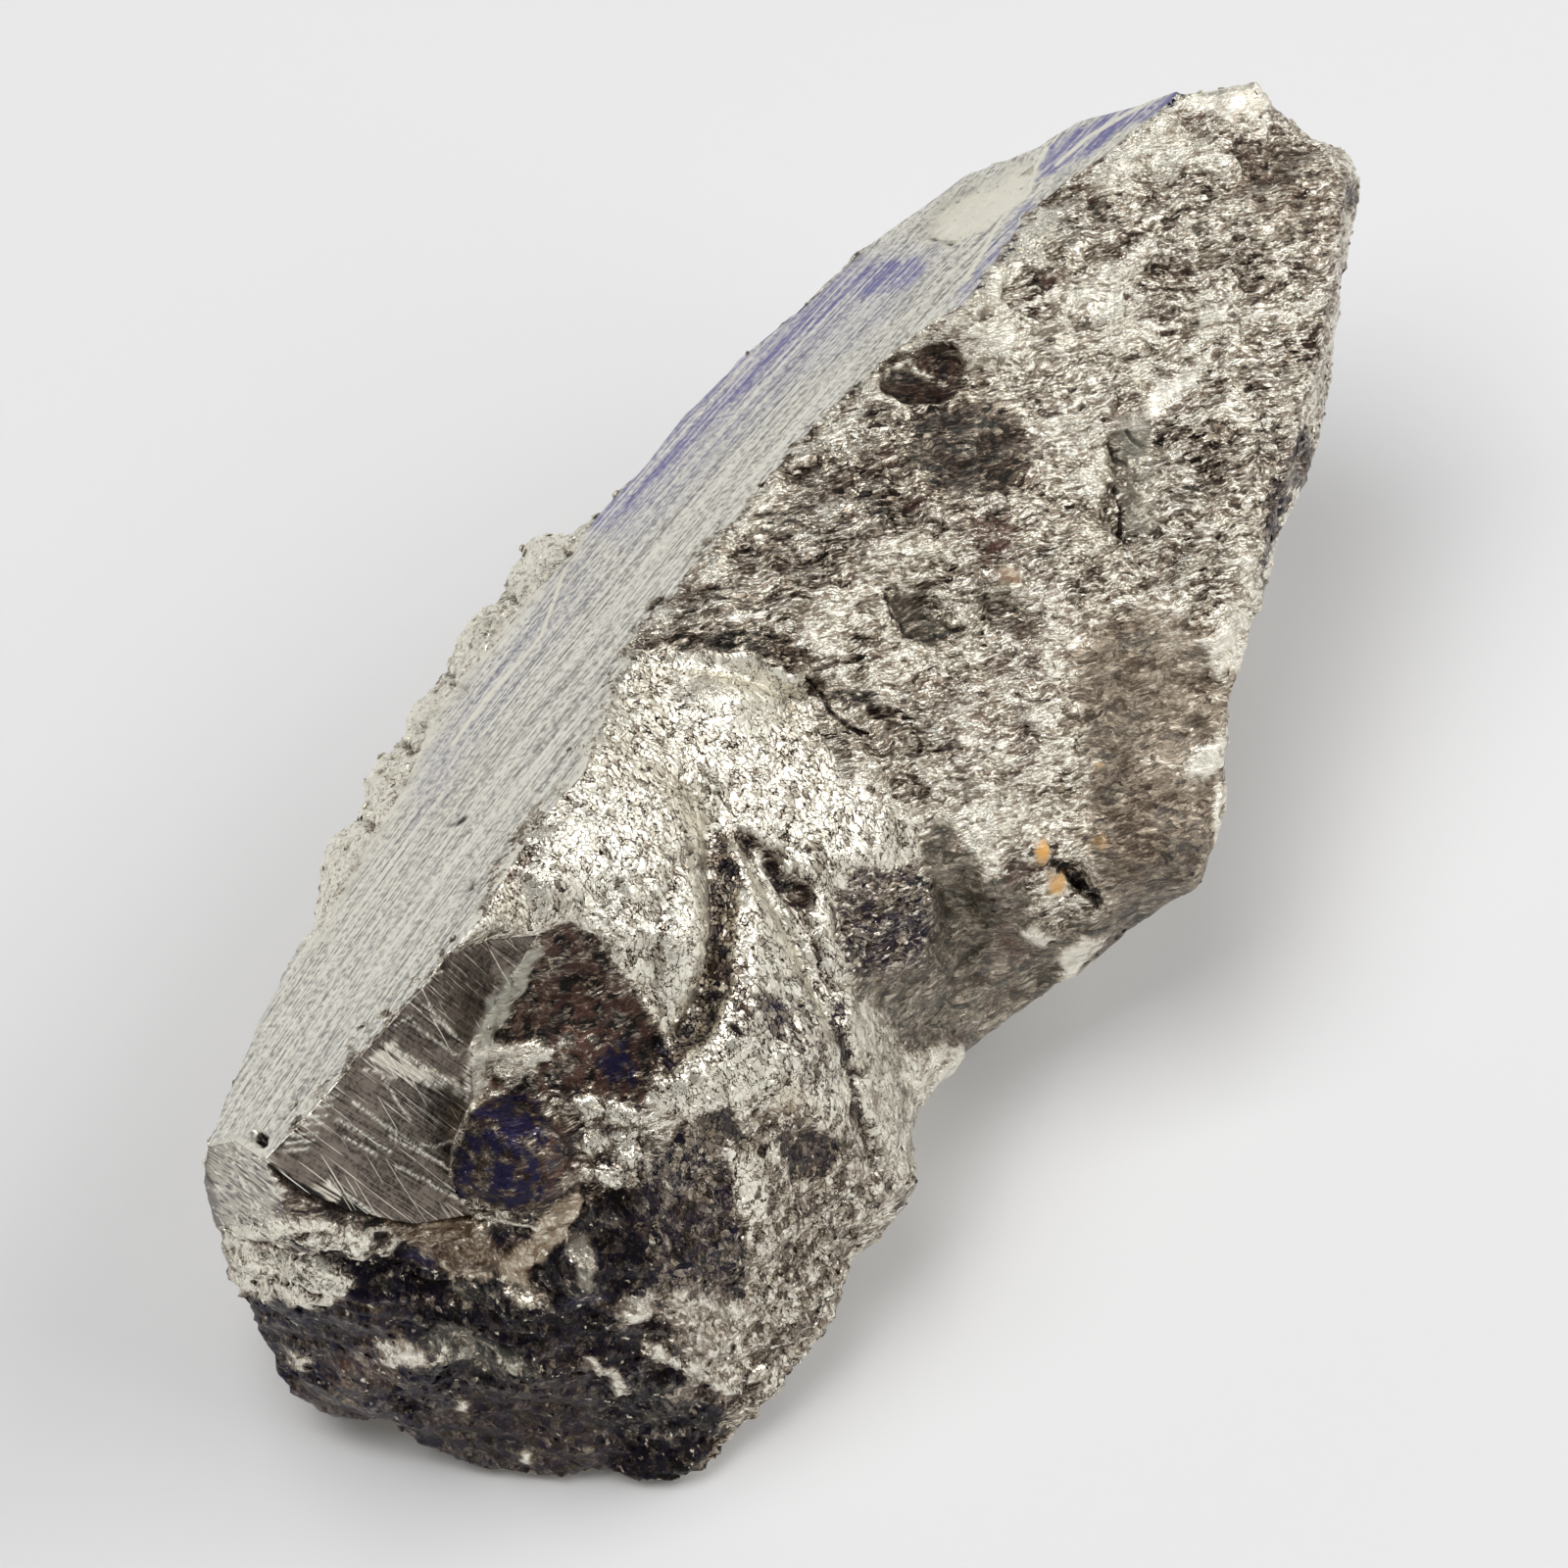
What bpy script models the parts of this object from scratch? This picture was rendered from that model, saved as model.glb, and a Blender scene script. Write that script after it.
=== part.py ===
"""Broken lump of massive metallic ore, about 90 mm long, lying on its flat underside.

The stone is one piece. A long face on its left was sawn and ground, and is slightly bowed. The large
face on its right is a rough fracture. Between the near ends of the two lies a small dark cleavage
facet, with a dome, folds, ledges and a two-lobed foot around it. The right-hand slab overhangs.

Corners are surveyed the way a sculptor's pointing frame does it: each is sighted from one fixed eye
point on a tilted plane, as (x, y) there, and its height above the table says how far along that line
of sight it lies. All survey values are millimetres; the finished mesh is in metres.
"""

import math

import bmesh
import bpy
from mathutils import Matrix, Vector, noise
from mathutils.geometry import delaunay_2d_cdt

MM = 0.001
NODE_NAME = "pyrite_mass"

# The sighting frame
EYE_DISTANCE = 360.0
SIGHT_ELEVATION = math.radians(55.0)
SIGHT_CENTRE = Vector((0.0, -15.5, 22.1))
BACK = Vector((0.0, -math.cos(SIGHT_ELEVATION), math.sin(SIGHT_ELEVATION)))
RIGHT = Vector((1.0, 0.0, 0.0))
UP = BACK.cross(RIGHT)
EYE = SIGHT_CENTRE + BACK * EYE_DISTANCE
# A turn about the vertical that lays the stone's length along +Y
HEADING = math.radians(36.0)

# How long an edge may be on each side of the stone
FRONT_EDGE = 1.9
SMOOTH_EDGE = 3.8
HIDDEN_EDGE = 2.7
REST_EDGE = 6.0

# The broken surface: slow swells, flat chips, small grain and overhanging ledges
SWELL_SIZE = 11.0
SWELL_DEPTH = 0.5
CHIP_SIZE = 4.2
CHIP_DEPTH = 0.34
CHIP_TILT = 2.2
CHIP_STEP = 0.9
GRAIN_SIZE = 1.9
GRAIN_DEPTH = 0.20
GRAIN_ROUGHNESS = 0.8
GRAIN_SCALING = 2.1
GRAIN_OCTAVES = 3
LEDGE_PITCH = 3.1
LEDGE_DEPTH = 0.55
LEDGE_SLANT = 0.25
LEDGE_MEAN = 0.4
LEDGE_LEAST = 0.15
# How far the ledges wander from straight lines, as pairs of a size and a share of the pitch
LEDGE_WANDER = [(9.0, 1.6), (3.0, 0.5)]
LEDGES_BEGIN, LEDGES_FULL = -18.0, -25.0
FOLDS_MIDDLE = Vector((-5.0, -3.5))
FOLDS_CORE, FOLDS_REACH = 4.4, 9.4
FOLDS_CALM = 0.65
HIDDEN_GAIN = 1.5
SHARED_EDGE_GAIN = 0.45
LUMP_TOP = 0.45
GROOVE_BED = 0.1
NOISE_SEED = 7
# Strides that read an unrelated noise value for each chip's slope and for its height
TILT_STRIDE = 3.7
STEP_STRIDE = 5.3

# The edge where the facing side meets the hidden one, and the flat underside
RIM_INWARD = 0.3
RIM_DEPTH = 1.5
KEEP_ABOVE_TABLE = 0.05

# The sawn face: a tilted plane that rises by a bow towards the middle of its length
SAWN_LEVEL, SAWN_ACROSS, SAWN_UP = 43.9, 1.143, -0.934
SAWN_BOW = 4.5
SAWN_MIDDLE = Vector((-3.1, 8.1))
SAWN_ALONG = Vector((0.651, 0.759))
SAWN_HALF_LENGTH = 36.0
# The fracture face and the dark cleavage facet: plain tilted planes
FRACTURE_LEVEL, FRACTURE_ACROSS, FRACTURE_UP = 27.0, -0.364, 0.404
FACET_LEVEL, FACET_ACROSS, FACET_UP = 29.4, -0.81, 1.012


def sawn(x, y, rise=0.0):
    """A corner on the sawn face, or that much above it."""
    along = (Vector((x, y)) - SAWN_MIDDLE).dot(SAWN_ALONG) / SAWN_HALF_LENGTH
    bow = SAWN_BOW * (1.0 - along * along)
    return x, y, SAWN_LEVEL + SAWN_ACROSS * x + SAWN_UP * y + bow + rise


def fracture(x, y, rise=0.0):
    """A corner on the mean plane of the fracture face, or that much above it."""
    return x, y, FRACTURE_LEVEL + FRACTURE_ACROSS * x + FRACTURE_UP * y + rise


def facet(x, y, rise=0.0):
    """A corner on the dark cleavage facet, or that much above it."""
    return x, y, FACET_LEVEL + FACET_ACROSS * x + FACET_UP * y + rise


# The line along which the sight lines graze the stone, clockwise from the crown
FAR_END = [
    sawn(20.2, 35.4), fracture(22.5, 35.7), fracture(24.3, 35.9, -0.2), fracture(25.4, 34.2, -1.0),
    fracture(27.0, 33.0, -1.0), fracture(28.8, 32.4, -1.5), fracture(29.6, 30.6, -2.2),
]
RIGHT_SIDE = [
    fracture(29.0, 27.8, -3.0), fracture(28.3, 24.1, -3.2), fracture(27.8, 20.9, -3.2),
    fracture(27.1, 17.4, -3.0), fracture(26.0, 14.2, -2.8), fracture(25.1, 11.8, -2.2),
    fracture(24.2, 8.0, -1.2), fracture(23.1, 4.8, -1.0), fracture(22.8, 2.6, -0.8),
    fracture(22.6, 0.6, -0.8), fracture(22.2, -2.4, -1.2), (21.3, -5.2, 15.3),
]
SLAB_FOOT = [
    (19.2, -6.5, 13.5), (16.2, -8.7, 11.5), (13.9, -10.3, 10.5), (11.8, -11.8, 10.0),
    (9.4, -13.7, 9.5), (7.9, -15.0, 10.0), (6.8, -16.8, 11.0),
]
FLANK_FOOT = [
    (6.5, -18.2, 11.0), (6.8, -20.2, 10.5), (6.2, -21.2, 9.5), (4.6, -22.9, 8.5), (3.4, -24.2, 8.0),
    (3.0, -26.3, 6.5), (2.1, -28.0, 5.5), (0.2, -30.4, 4.0), (-2.4, -33.4, 2.2),
]
LOBE_FOOT = [
    (-4.6, -35.4, 1.0), (-6.2, -35.8, 0.8), (-7.8, -35.5, 1.0), (-9.2, -35.0, 1.6),
    (-10.2, -35.6, 0.9), (-12.2, -35.6, 0.8), (-15.0, -35.0, 1.0), (-17.5, -34.5, 1.5),
    (-18.8, -33.6, 2.6), (-20.0, -32.4, 4.2), (-22.6, -32.6, 3.2), (-24.2, -32.0, 3.6),
]
NEAR_LEFT = [
    (-25.8, -30.6, 5.2), (-27.0, -27.8, 8.8), (-27.8, -26.1, 11.0), (-28.6, -24.6, 13.5),
    (-29.0, -22.6, 17.0), (-29.6, -20.4, 21.0),
]
SAWN_SIDE_NEAR = [sawn(-29.4, -18.5), sawn(-27.8, -14.5), sawn(-26.6, -11.8), sawn(-24.9, -8.6)]
LEFT_LUMPS = [
    sawn(-24.0, -7.6, -1.2), sawn(-23.6, -5.0, -2.0), sawn(-23.0, -3.6, -2.2),
    sawn(-21.6, -1.7, -1.8), sawn(-20.8, -0.2, -2.0), sawn(-20.6, 1.0, -2.6),
    sawn(-19.3, 2.3, -2.2), sawn(-18.8, 3.8, -2.2), sawn(-17.6, 5.6, -1.8),
    sawn(-16.6, 7.2, -2.2), sawn(-14.6, 9.0, -2.0), sawn(-14.4, 9.6, -2.4),
    sawn(-13.8, 11.0, -2.6), sawn(-12.8, 12.0, -2.2), sawn(-11.0, 12.5, -1.2),
]
SAWN_SIDE_FAR = [
    sawn(-9.4, 13.8), sawn(-7.2, 16.1), sawn(-5.0, 18.9), sawn(-2.2, 21.6), sawn(1.6, 24.8),
    sawn(4.4, 27.5), sawn(6.8, 29.2), sawn(9.2, 31.0, -0.8), sawn(12.8, 32.4, -0.6),
    sawn(15.0, 33.8), sawn(18.0, 34.6),
]
OUTLINE = (
    FAR_END + RIGHT_SIDE + SLAB_FOOT + FLANK_FOOT + LOBE_FOOT + NEAR_LEFT
    + SAWN_SIDE_NEAR + LEFT_LUMPS + SAWN_SIDE_FAR
)

# Edges and creases on the side that faces the eye
RIDGE = [
    sawn(20.2, 35.4), sawn(19.2, 34.2), sawn(16.0, 31.8), sawn(14.2, 30.6), sawn(12.5, 29.2),
    sawn(11.4, 27.5), sawn(9.4, 24.7), sawn(6.8, 23.0), sawn(4.4, 21.0), sawn(2.0, 18.8),
    sawn(-0.2, 16.3), sawn(-2.2, 13.8), sawn(-4.1, 11.4), sawn(-7.0, 8.0), sawn(-7.8, 6.5),
    sawn(-8.8, 4.2), sawn(-10.2, 0.6), sawn(-12.2, -1.6), sawn(-14.0, -4.2), sawn(-15.5, -7.0),
    sawn(-17.2, -8.8), sawn(-18.5, -10.5), sawn(-21.5, -13.8), sawn(-24.5, -17.2),
    sawn(-26.5, -19.2),
]
SAWN_NEAR_END = [sawn(-26.5, -19.2), sawn(-28.0, -18.2), sawn(-29.4, -18.5)]
SAWN_CHIPPED_EDGE = [
    sawn(-24.9, -8.6), sawn(-23.2, -7.2), sawn(-21.9, -4.4), sawn(-20.2, -1.8), sawn(-19.0, 0.5),
    sawn(-18.0, 2.8), sawn(-16.5, 5.2), sawn(-14.5, 7.2), sawn(-12.6, 9.8), sawn(-10.6, 12.0),
    sawn(-9.4, 13.8),
]
CORNER_FACE_EDGE = [sawn(-26.5, -19.2), (-25.4, -22.0, 27.0), (-29.0, -22.6, 17.0)]
CRACK = [
    sawn(-26.5, -19.2), facet(-24.8, -20.8), facet(-22.3, -21.8), facet(-18.8, -22.6),
    (-15.9, -22.1, 20.6), (-12.6, -22.6, 20.4),
]
FACET_HEAD = [sawn(-17.2, -8.8), (-15.0, -7.9, 33.9), (-12.6, -7.7, 32.6)]
FACET_BLADE = [
    (-12.6, -7.7, 32.6), (-14.8, -11.0, 29.6), facet(-16.1, -13.4), facet(-16.0, -16.2),
    facet(-16.8, -18.0), facet(-17.1, -20.0), (-15.9, -22.1, 20.6),
]
RUST_EDGE = [
    (-12.6, -7.7, 32.6), (-10.0, -7.2, 32.0), (-8.0, -9.8, 29.7), (-6.2, -13.4, 27.0),
    (-6.9, -16.2, 25.0), (-8.0, -18.0, 23.4), (-10.0, -21.8, 20.4), (-12.6, -22.6, 20.4),
]
BROWN_FACET_EDGE = [
    facet(-18.8, -22.6), (-19.1, -23.8, 20.4), (-18.0, -24.8, 19.2), (-15.5, -25.3, 18.1),
    (-13.6, -25.0, 18.0), (-12.0, -23.1, 19.6), (-12.6, -22.6, 20.4),
]
SHOULDER_LIP = [
    sawn(-7.0, 8.0), fracture(-5.0, 7.4, 1.1), fracture(-2.0, 6.9, 0.8), fracture(0.9, 5.8, 0.7),
    fracture(2.5, 4.2, 0.6), fracture(4.2, 2.6, 0.4),
]
SHOULDER_FOOT = [
    sawn(-7.8, 6.5), fracture(-5.0, 5.9, 0.2), fracture(-2.2, 5.3, -0.6), fracture(0.3, 4.4, -0.9),
    fracture(1.8, 3.1, -0.6), fracture(4.2, 2.6, 0.4),
]
LEFT_FOLD = [(-3.6, -2.5, 29.4), (-3.8, -7.3, 27.9), (-4.7, -11.7, 26.0), (-6.2, -13.4, 27.0)]
RIGHT_FOLD = [
    (-2.4, -2.5, 29.2), (0.3, -6.4, 25.8), (1.8, -9.4, 23.8), (3.0, -13.2, 21.0),
    (3.9, -17.0, 17.2), (4.8, -19.7, 14.0),
]
SLAB_NOTCH_LEFT = [fracture(6.8, -1.8), (7.5, -4.6, 21.6), (7.6, -6.2, 20.4), (7.5, -9.2, 18.4)]
SLAB_NOTCH_RIGHT = [
    fracture(6.8, -1.8), fracture(8.6, -2.2), fracture(9.6, -3.3), fracture(10.2, -5.2, -0.3),
    fracture(12.1, -4.2), (12.6, -6.5, 18.6), (14.0, -7.6, 16.0), (16.2, -8.7, 11.5),
]
GLINT_FACET = [
    (7.5, -4.6, 21.6), (5.0, -3.6, 24.0), (2.5, -4.0, 25.4), (1.8, -9.4, 23.8), (3.2, -9.9, 21.6),
    (4.8, -9.6, 20.2), (7.5, -9.2, 18.4),
]
RIGHT_BROW = [
    fracture(28.8, 32.4, -1.5), fracture(28.6, 30.8, 0.2), fracture(28.2, 27.8, 0.1),
    fracture(27.5, 24.1), fracture(26.9, 20.8), fracture(26.1, 17.2), fracture(25.1, 14.1),
    fracture(24.5, 11.7), fracture(24.2, 8.0, -1.2),
]
CROWN_FACET = [
    sawn(20.2, 35.4), fracture(20.8, 34.4, 0.1), fracture(23.0, 34.0, 0.2), fracture(25.4, 34.2, -1.0),
]
UPPER_LEDGE = [
    (-29.0, -22.6, 17.0), (-27.2, -23.4, 19.6), (-23.8, -23.8, 22.6), (-20.8, -24.2, 21.4),
    (-19.1, -23.8, 20.4),
]
LOWER_LEDGE = [
    (-27.8, -26.1, 11.0), (-25.5, -26.4, 15.6), (-22.0, -26.6, 17.8), (-19.0, -27.0, 17.0),
    (-16.0, -27.0, 16.6),
]
HOLLOW_LIP = [
    (-17.6, -27.6, 16.6), (-15.0, -28.4, 15.4), (-13.2, -29.4, 13.6), (-12.6, -30.4, 11.4),
]
CREASES = [
    RIDGE, SAWN_NEAR_END, SAWN_CHIPPED_EDGE, CORNER_FACE_EDGE, CRACK, FACET_HEAD, FACET_BLADE,
    RUST_EDGE, BROWN_FACET_EDGE, SHOULDER_LIP, SHOULDER_FOOT, LEFT_FOLD, RIGHT_FOLD,
    SLAB_NOTCH_LEFT, SLAB_NOTCH_RIGHT, GLINT_FACET, RIGHT_BROW, CROWN_FACET, UPPER_LEDGE,
    LOWER_LEDGE, HOLLOW_LIP,
]

# High and low points between the creases
FRACTURE_POINTS = [
    fracture(15.0, 27.5, 0.2), fracture(22.5, 30.0, 0.5), fracture(20.0, 22.5, -0.3),
    fracture(12.5, 20.0, -0.5), fracture(7.0, 21.0, -0.9), fracture(5.0, 15.0, 0.5),
    fracture(17.5, 15.0, -0.6), fracture(10.0, 12.5, 0.5), fracture(22.5, 16.0, 0.3),
    fracture(2.5, 10.0, 0.9), fracture(7.2, 8.5, -0.5), fracture(14.0, 5.0, 0.5),
    fracture(20.0, 9.0, 0.2), fracture(17.5, 0.0, -0.4), fracture(7.5, 2.5, 0.4),
    fracture(12.5, 0.0, 0.5), fracture(19.0, -4.0, 0.2), fracture(-1.5, 10.5, 0.6),
]
FOLD_POINTS = [
    (-8.0, 0.0, 33.9), (-6.0, 2.0, 32.0), (-2.8, 4.0, 30.4), (-5.0, -2.5, 31.0), (-9.0, -4.0, 33.4),
    (-12.0, -5.0, 34.6), (-5.6, -8.0, 29.9), (-7.0, -5.0, 31.8), (-8.0, -7.4, 31.4),
    (-0.5, 0.5, 28.6), (3.0, -1.0, 26.2), (-1.5, -6.5, 28.2), (-1.6, -11.0, 27.0),
    (0.2, -14.0, 24.0), (-3.0, -14.5, 25.6), (0.3, -15.9, 22.8),
]
FLANK_POINTS = [
    (4.2, -10.8, 19.4), (5.2, -14.5, 15.8), (5.8, -17.6, 13.0), (10.0, -8.0, 16.0),
    (8.2, -5.4, 19.6), (8.0, -12.0, 13.4), (12.5, -9.0, 13.4), (6.2, -12.4, 15.0),
    (7.4, -14.2, 12.6),
]
NEAR_END_POINTS = [
    (-10.5, -11.5, 28.6), (-12.0, -14.4, 26.8), (-14.2, -13.6, 27.6), (-13.6, -18.6, 25.2),
    (-10.6, -18.8, 23.4), (-13.6, -21.2, 22.4), (-13.5, -16.2, 25.4),
]
FOOT_POINTS = [
    (-23.5, -22.6, 25.2), (-25.0, -24.8, 19.0), (-21.8, -25.2, 19.2), (-15.5, -29.2, 12.6),
    (-18.5, -30.2, 11.2), (-23.5, -29.2, 9.6), (-12.0, -27.0, 16.6), (-10.0, -25.0, 18.2),
    (-7.5, -23.0, 19.6), (-6.0, -19.0, 22.5), (-3.0, -18.0, 22.0), (-3.0, -21.5, 18.6),
    (-5.0, -25.0, 16.2), (-1.0, -24.0, 14.2), (1.5, -21.5, 14.6), (1.0, -18.5, 18.4),
    (-8.0, -29.0, 12.2), (-4.0, -29.0, 10.6), (-10.0, -32.0, 7.2), (-14.0, -32.4, 6.2),
    (-6.0, -32.4, 5.6), (-1.0, -27.5, 9.6), (-17.6, -32.0, 5.8), (-21.0, -29.6, 10.4),
]
FACING_POINTS = FRACTURE_POINTS + FOLD_POINTS + FLANK_POINTS + NEAR_END_POINTS + FOOT_POINTS

# The hidden side, as true (x, depth, height): the flat underside and the walls above it
REST_CORNERS = [
    (-25.0, -34.5), (-20.0, -38.0), (-12.0, -41.6), (-7.5, -41.2), (-4.0, -37.0), (0.5, -31.0),
    (4.8, -23.5), (8.8, -13.0), (15.5, -3.0), (20.5, 6.0), (22.5, 14.0), (16.0, 17.5), (5.0, 12.5),
    (-5.0, 5.5), (-13.0, -3.0), (-19.5, -14.0), (-24.0, -25.0),
]
WALL_POINTS = [
    (-28.6, -36.0, 17.5), (-25.8, -22.5, 19.0), (-20.6, -11.5, 17.0), (-14.6, 0.6, 18.4),
    (-3.4, 9.6, 19.4), (9.0, 17.8, 20.5), (17.5, 21.4, 20.0), (24.9, 19.0, 17.0),
    (-27.2, -29.0, 13.0), (-23.2, -16.5, 12.6), (-16.0, -3.0, 11.4), (-8.0, 6.2, 14.0),
    (4.6, 15.6, 12.6), (14.5, 19.6, 11.6), (25.6, 11.0, 13.0), (26.0, 4.0, 15.6), (21.2, -3.0, 11.0),
    (16.0, -9.4, 7.4), (-28.2, -34.6, 8.4), (-25.4, -28.5, 5.4), (-21.4, -17.4, 5.0),
    (-15.2, -7.2, 6.2), (-9.6, 2.6, 5.4), (0.4, 10.6, 6.6), (10.6, 16.8, 5.0), (20.6, 17.4, 7.0),
    (24.0, 12.4, 6.4), (19.4, -0.6, 5.0),
]

# Lumps (above zero) and pits (below) on the facing side: x, y, radius across, radius along, depth
LUMPS = [
    (-13.6, -18.6, 3.3, 3.0, 0.9), (-3.0, 4.6, 2.8, 1.6, 0.5), (-5.4, -8.0, 1.3, 3.6, 0.7),
    (-7.0, -3.0, 2.6, 4.0, 0.5), (22.2, 8.0, 1.2, 1.6, 0.5), (22.0, 2.4, 1.3, 1.5, 0.6),
    (14.6, -7.6, 1.3, 0.8, 0.5), (8.2, -13.8, 1.6, 1.2, 0.5), (7.0, 21.1, 2.4, 1.3, -0.9),
    (7.2, 8.4, 2.0, 1.3, -0.9), (11.4, 8.8, 1.6, 1.2, -0.6), (17.2, 14.8, 1.1, 3.0, -0.4),
    (9.0, 17.0, 3.0, 2.4, -0.3), (13.2, -3.6, 1.0, 0.8, 0.6), (14.6, -5.0, 1.2, 0.9, -0.7),
    (-15.6, -28.8, 2.6, 1.0, -0.7), (-23.0, -24.8, 2.6, 0.8, 0.4), (1.4, -18.6, 1.6, 1.1, -0.4),
    (3.2, 5.4, 1.2, 0.9, -0.6), (11.6, 10.6, 0.8, 0.6, 0.4),
]
# Grooves on the facing side: the points each runs through, its half width and its depth
GROOVES = [
    ([(-3.6, -1.0), (-3.6, -2.5), (-3.8, -7.3), (-4.7, -11.7), (-6.2, -13.4)], 0.8, 0.8),
    ([(-2.6, -1.6), (0.3, -6.4), (1.8, -9.4), (3.0, -13.2), (3.9, -17.0), (4.8, -19.7)], 0.8, 0.8),
    ([(1.2, 5.4), (4.2, 2.6), (7.4, 1.2)], 0.8, 0.6),
    ([(16.8, 17.2), (17.4, 14.6), (17.2, 12.6)], 0.6, 0.5),
    ([(-24.8, -20.8), (-22.3, -21.8), (-18.8, -22.6), (-15.9, -22.1)], 0.7, 0.35),
    ([(-26.0, -24.2), (-22.6, -24.4), (-19.6, -25.4), (-17.0, -26.4), (-13.5, -28.6)], 0.9, 0.7),
]


def lay_out(corner):
    """The true point of a surveyed corner: where its sight line passes the stated height."""
    x, y, height = corner
    sight = SIGHT_CENTRE + RIGHT * x + UP * y - EYE
    return EYE + sight * ((height - EYE.z) / sight.z)


def sighted(point):
    """The (x, y) at which a true point is seen on the sighting plane."""
    sight = point - EYE
    seen = EYE + sight * (-EYE_DISTANCE / sight.dot(BACK)) - SIGHT_CENTRE
    return Vector((seen.dot(RIGHT), seen.dot(UP)))


def triangulate_sheet(points, loops, chains):
    """Triangles over the sighting plane that keep every loop and chain as edges."""
    flat = [sighted(p) for p in points]
    edges = [pair for chain in chains for pair in zip(chain, chain[1:])]
    edges += [pair for loop in loops for pair in zip(loop, loop[1:] + loop[:1])]
    found = delaunay_2d_cdt(flat, edges, [loops[0][::-1]], 0, 1e-4, True)
    corner_of = [ids[0] for ids in found[3]]
    inside = [face for face, from_loop in zip(found[2], found[5]) if from_loop]
    return [tuple(corner_of[i] for i in face) for face in inside]


class Survey:
    """Numbered true points, in which a corner met twice keeps its first number."""

    def __init__(self):
        self.points = []
        self.numbers = {}

    def add(self, corner):
        key = tuple(round(value, 2) for value in corner)
        if key not in self.numbers:
            self.numbers[key] = len(self.points)
            self.points.append(lay_out(corner))
        return self.numbers[key]

    def add_true(self, point):
        self.points.append(Vector(point))
        return len(self.points) - 1


def facing_sheet(survey, outline):
    chains = [[survey.add(corner) for corner in chain] for chain in CREASES]
    for corner in FACING_POINTS:
        survey.add(corner)
    return triangulate_sheet(survey.points, [outline], chains)


def rim(survey, outline):
    """A loop just behind and inside the outline, which gives the stone's edges a thickness."""
    seen = [sighted(survey.points[number]) for number in outline]
    loop = []
    for i, number in enumerate(outline):
        along = (seen[(i + 1) % len(seen)] - seen[i - 1]).normalized()
        inward = RIGHT * along.y - UP * along.x
        loop.append(survey.add_true(survey.points[number] + inward * RIM_INWARD - BACK * RIM_DEPTH))
    return loop


def hidden_sheet(survey, outline):
    inner = rim(survey, outline)
    rest = [survey.add_true((x, depth, 0.0)) for x, depth in REST_CORNERS]
    walls = [survey.add_true(point) for point in WALL_POINTS]
    used = outline + inner + rest + walls
    local = {number: i for i, number in enumerate(used)}
    points = [survey.points[number] for number in used]
    loops = [[local[n] for n in loop] for loop in (outline, inner, rest)]
    spokes = [[local[a], local[b]] for a, b in zip(outline, inner)]
    faces = triangulate_sheet(points, loops, spokes)
    return [tuple(used[i] for i in reversed(face)) for face in faces]


def in_loop(x, y, loop):
    """Whether (x, y) lies inside a closed loop of corners."""
    inside = False
    for (x0, y0, *_), (x1, y1, *_) in zip(loop, loop[1:] + loop[:1]):
        if (y0 > y) != (y1 > y) and x < x0 + (y - y0) * (x1 - x0) / (y1 - y0):
            inside = not inside
    return inside


SAWN_LOOP = RIDGE[:-1] + SAWN_NEAR_END + SAWN_SIDE_NEAR[1:] + SAWN_CHIPPED_EDGE[1:] + SAWN_SIDE_FAR[1:]
FACET_LOOP = RIDGE[-5:] + CRACK[1:5] + FACET_BLADE[-2::-1] + [FACET_HEAD[1]]
CORNER_LOOP = SAWN_NEAR_END + [NEAR_LEFT[-1], NEAR_LEFT[-2], CORNER_FACE_EDGE[1]]
SMOOTH_LOOPS = [SAWN_LOOP, FACET_LOOP, CORNER_LOOP]
FACING_ROUGH, FACING_SMOOTH, HIDDEN_ROUGH, REST = 0, 1, 2, 3


def zone_of(face, facing):
    if not facing:
        return REST if all(abs(v.co.z) < 1e-6 for v in face.verts) else HIDDEN_ROUGH
    seen = sighted(face.calc_center_median())
    smooth = any(in_loop(seen.x, seen.y, loop) for loop in SMOOTH_LOOPS)
    return FACING_SMOOTH if smooth else FACING_ROUGH


def cage():
    """The closed, flat-faced form of the stone, each face marked with its zone."""
    survey = Survey()
    outline = [survey.add(corner) for corner in OUTLINE]
    facing = facing_sheet(survey, outline)
    hidden = hidden_sheet(survey, outline)
    mesh = bmesh.new()
    zone = mesh.faces.layers.int.new("zone")
    verts = [mesh.verts.new(point) for point in survey.points]
    for faces, is_facing in ((facing, True), (hidden, False)):
        for corners in faces:
            face = mesh.faces.new([verts[i] for i in corners])
            face[zone] = zone_of(face, is_facing)
    loose = [v for v in mesh.verts if not v.link_faces]
    bmesh.ops.delete(mesh, geom=loose, context="VERTS")
    bmesh.ops.recalc_face_normals(mesh, faces=mesh.faces)
    return mesh


def refine(mesh):
    """Halves the longest edge of each face that is still too large for its zone."""
    zone = mesh.faces.layers.int["zone"]
    limits = {FACING_ROUGH: FRONT_EDGE, FACING_SMOOTH: SMOOTH_EDGE,
              HIDDEN_ROUGH: HIDDEN_EDGE, REST: REST_EDGE}
    while True:
        longest = [max(face.edges, key=lambda e: e.calc_length()) for face in mesh.faces]
        pairs = zip(mesh.faces, longest)
        long_edges = [edge for face, edge in pairs if edge.calc_length() > limits[face[zone]]]
        if not long_edges:
            return
        # Keyed by the edge, so that each is listed once and always in the same order
        bmesh.ops.subdivide_edges(mesh, edges=list(dict.fromkeys(long_edges)), cuts=1)
        wide = [face for face in mesh.faces if len(face.verts) > 3]
        bmesh.ops.triangulate(mesh, faces=wide, quad_method="SHORT_EDGE")


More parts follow.
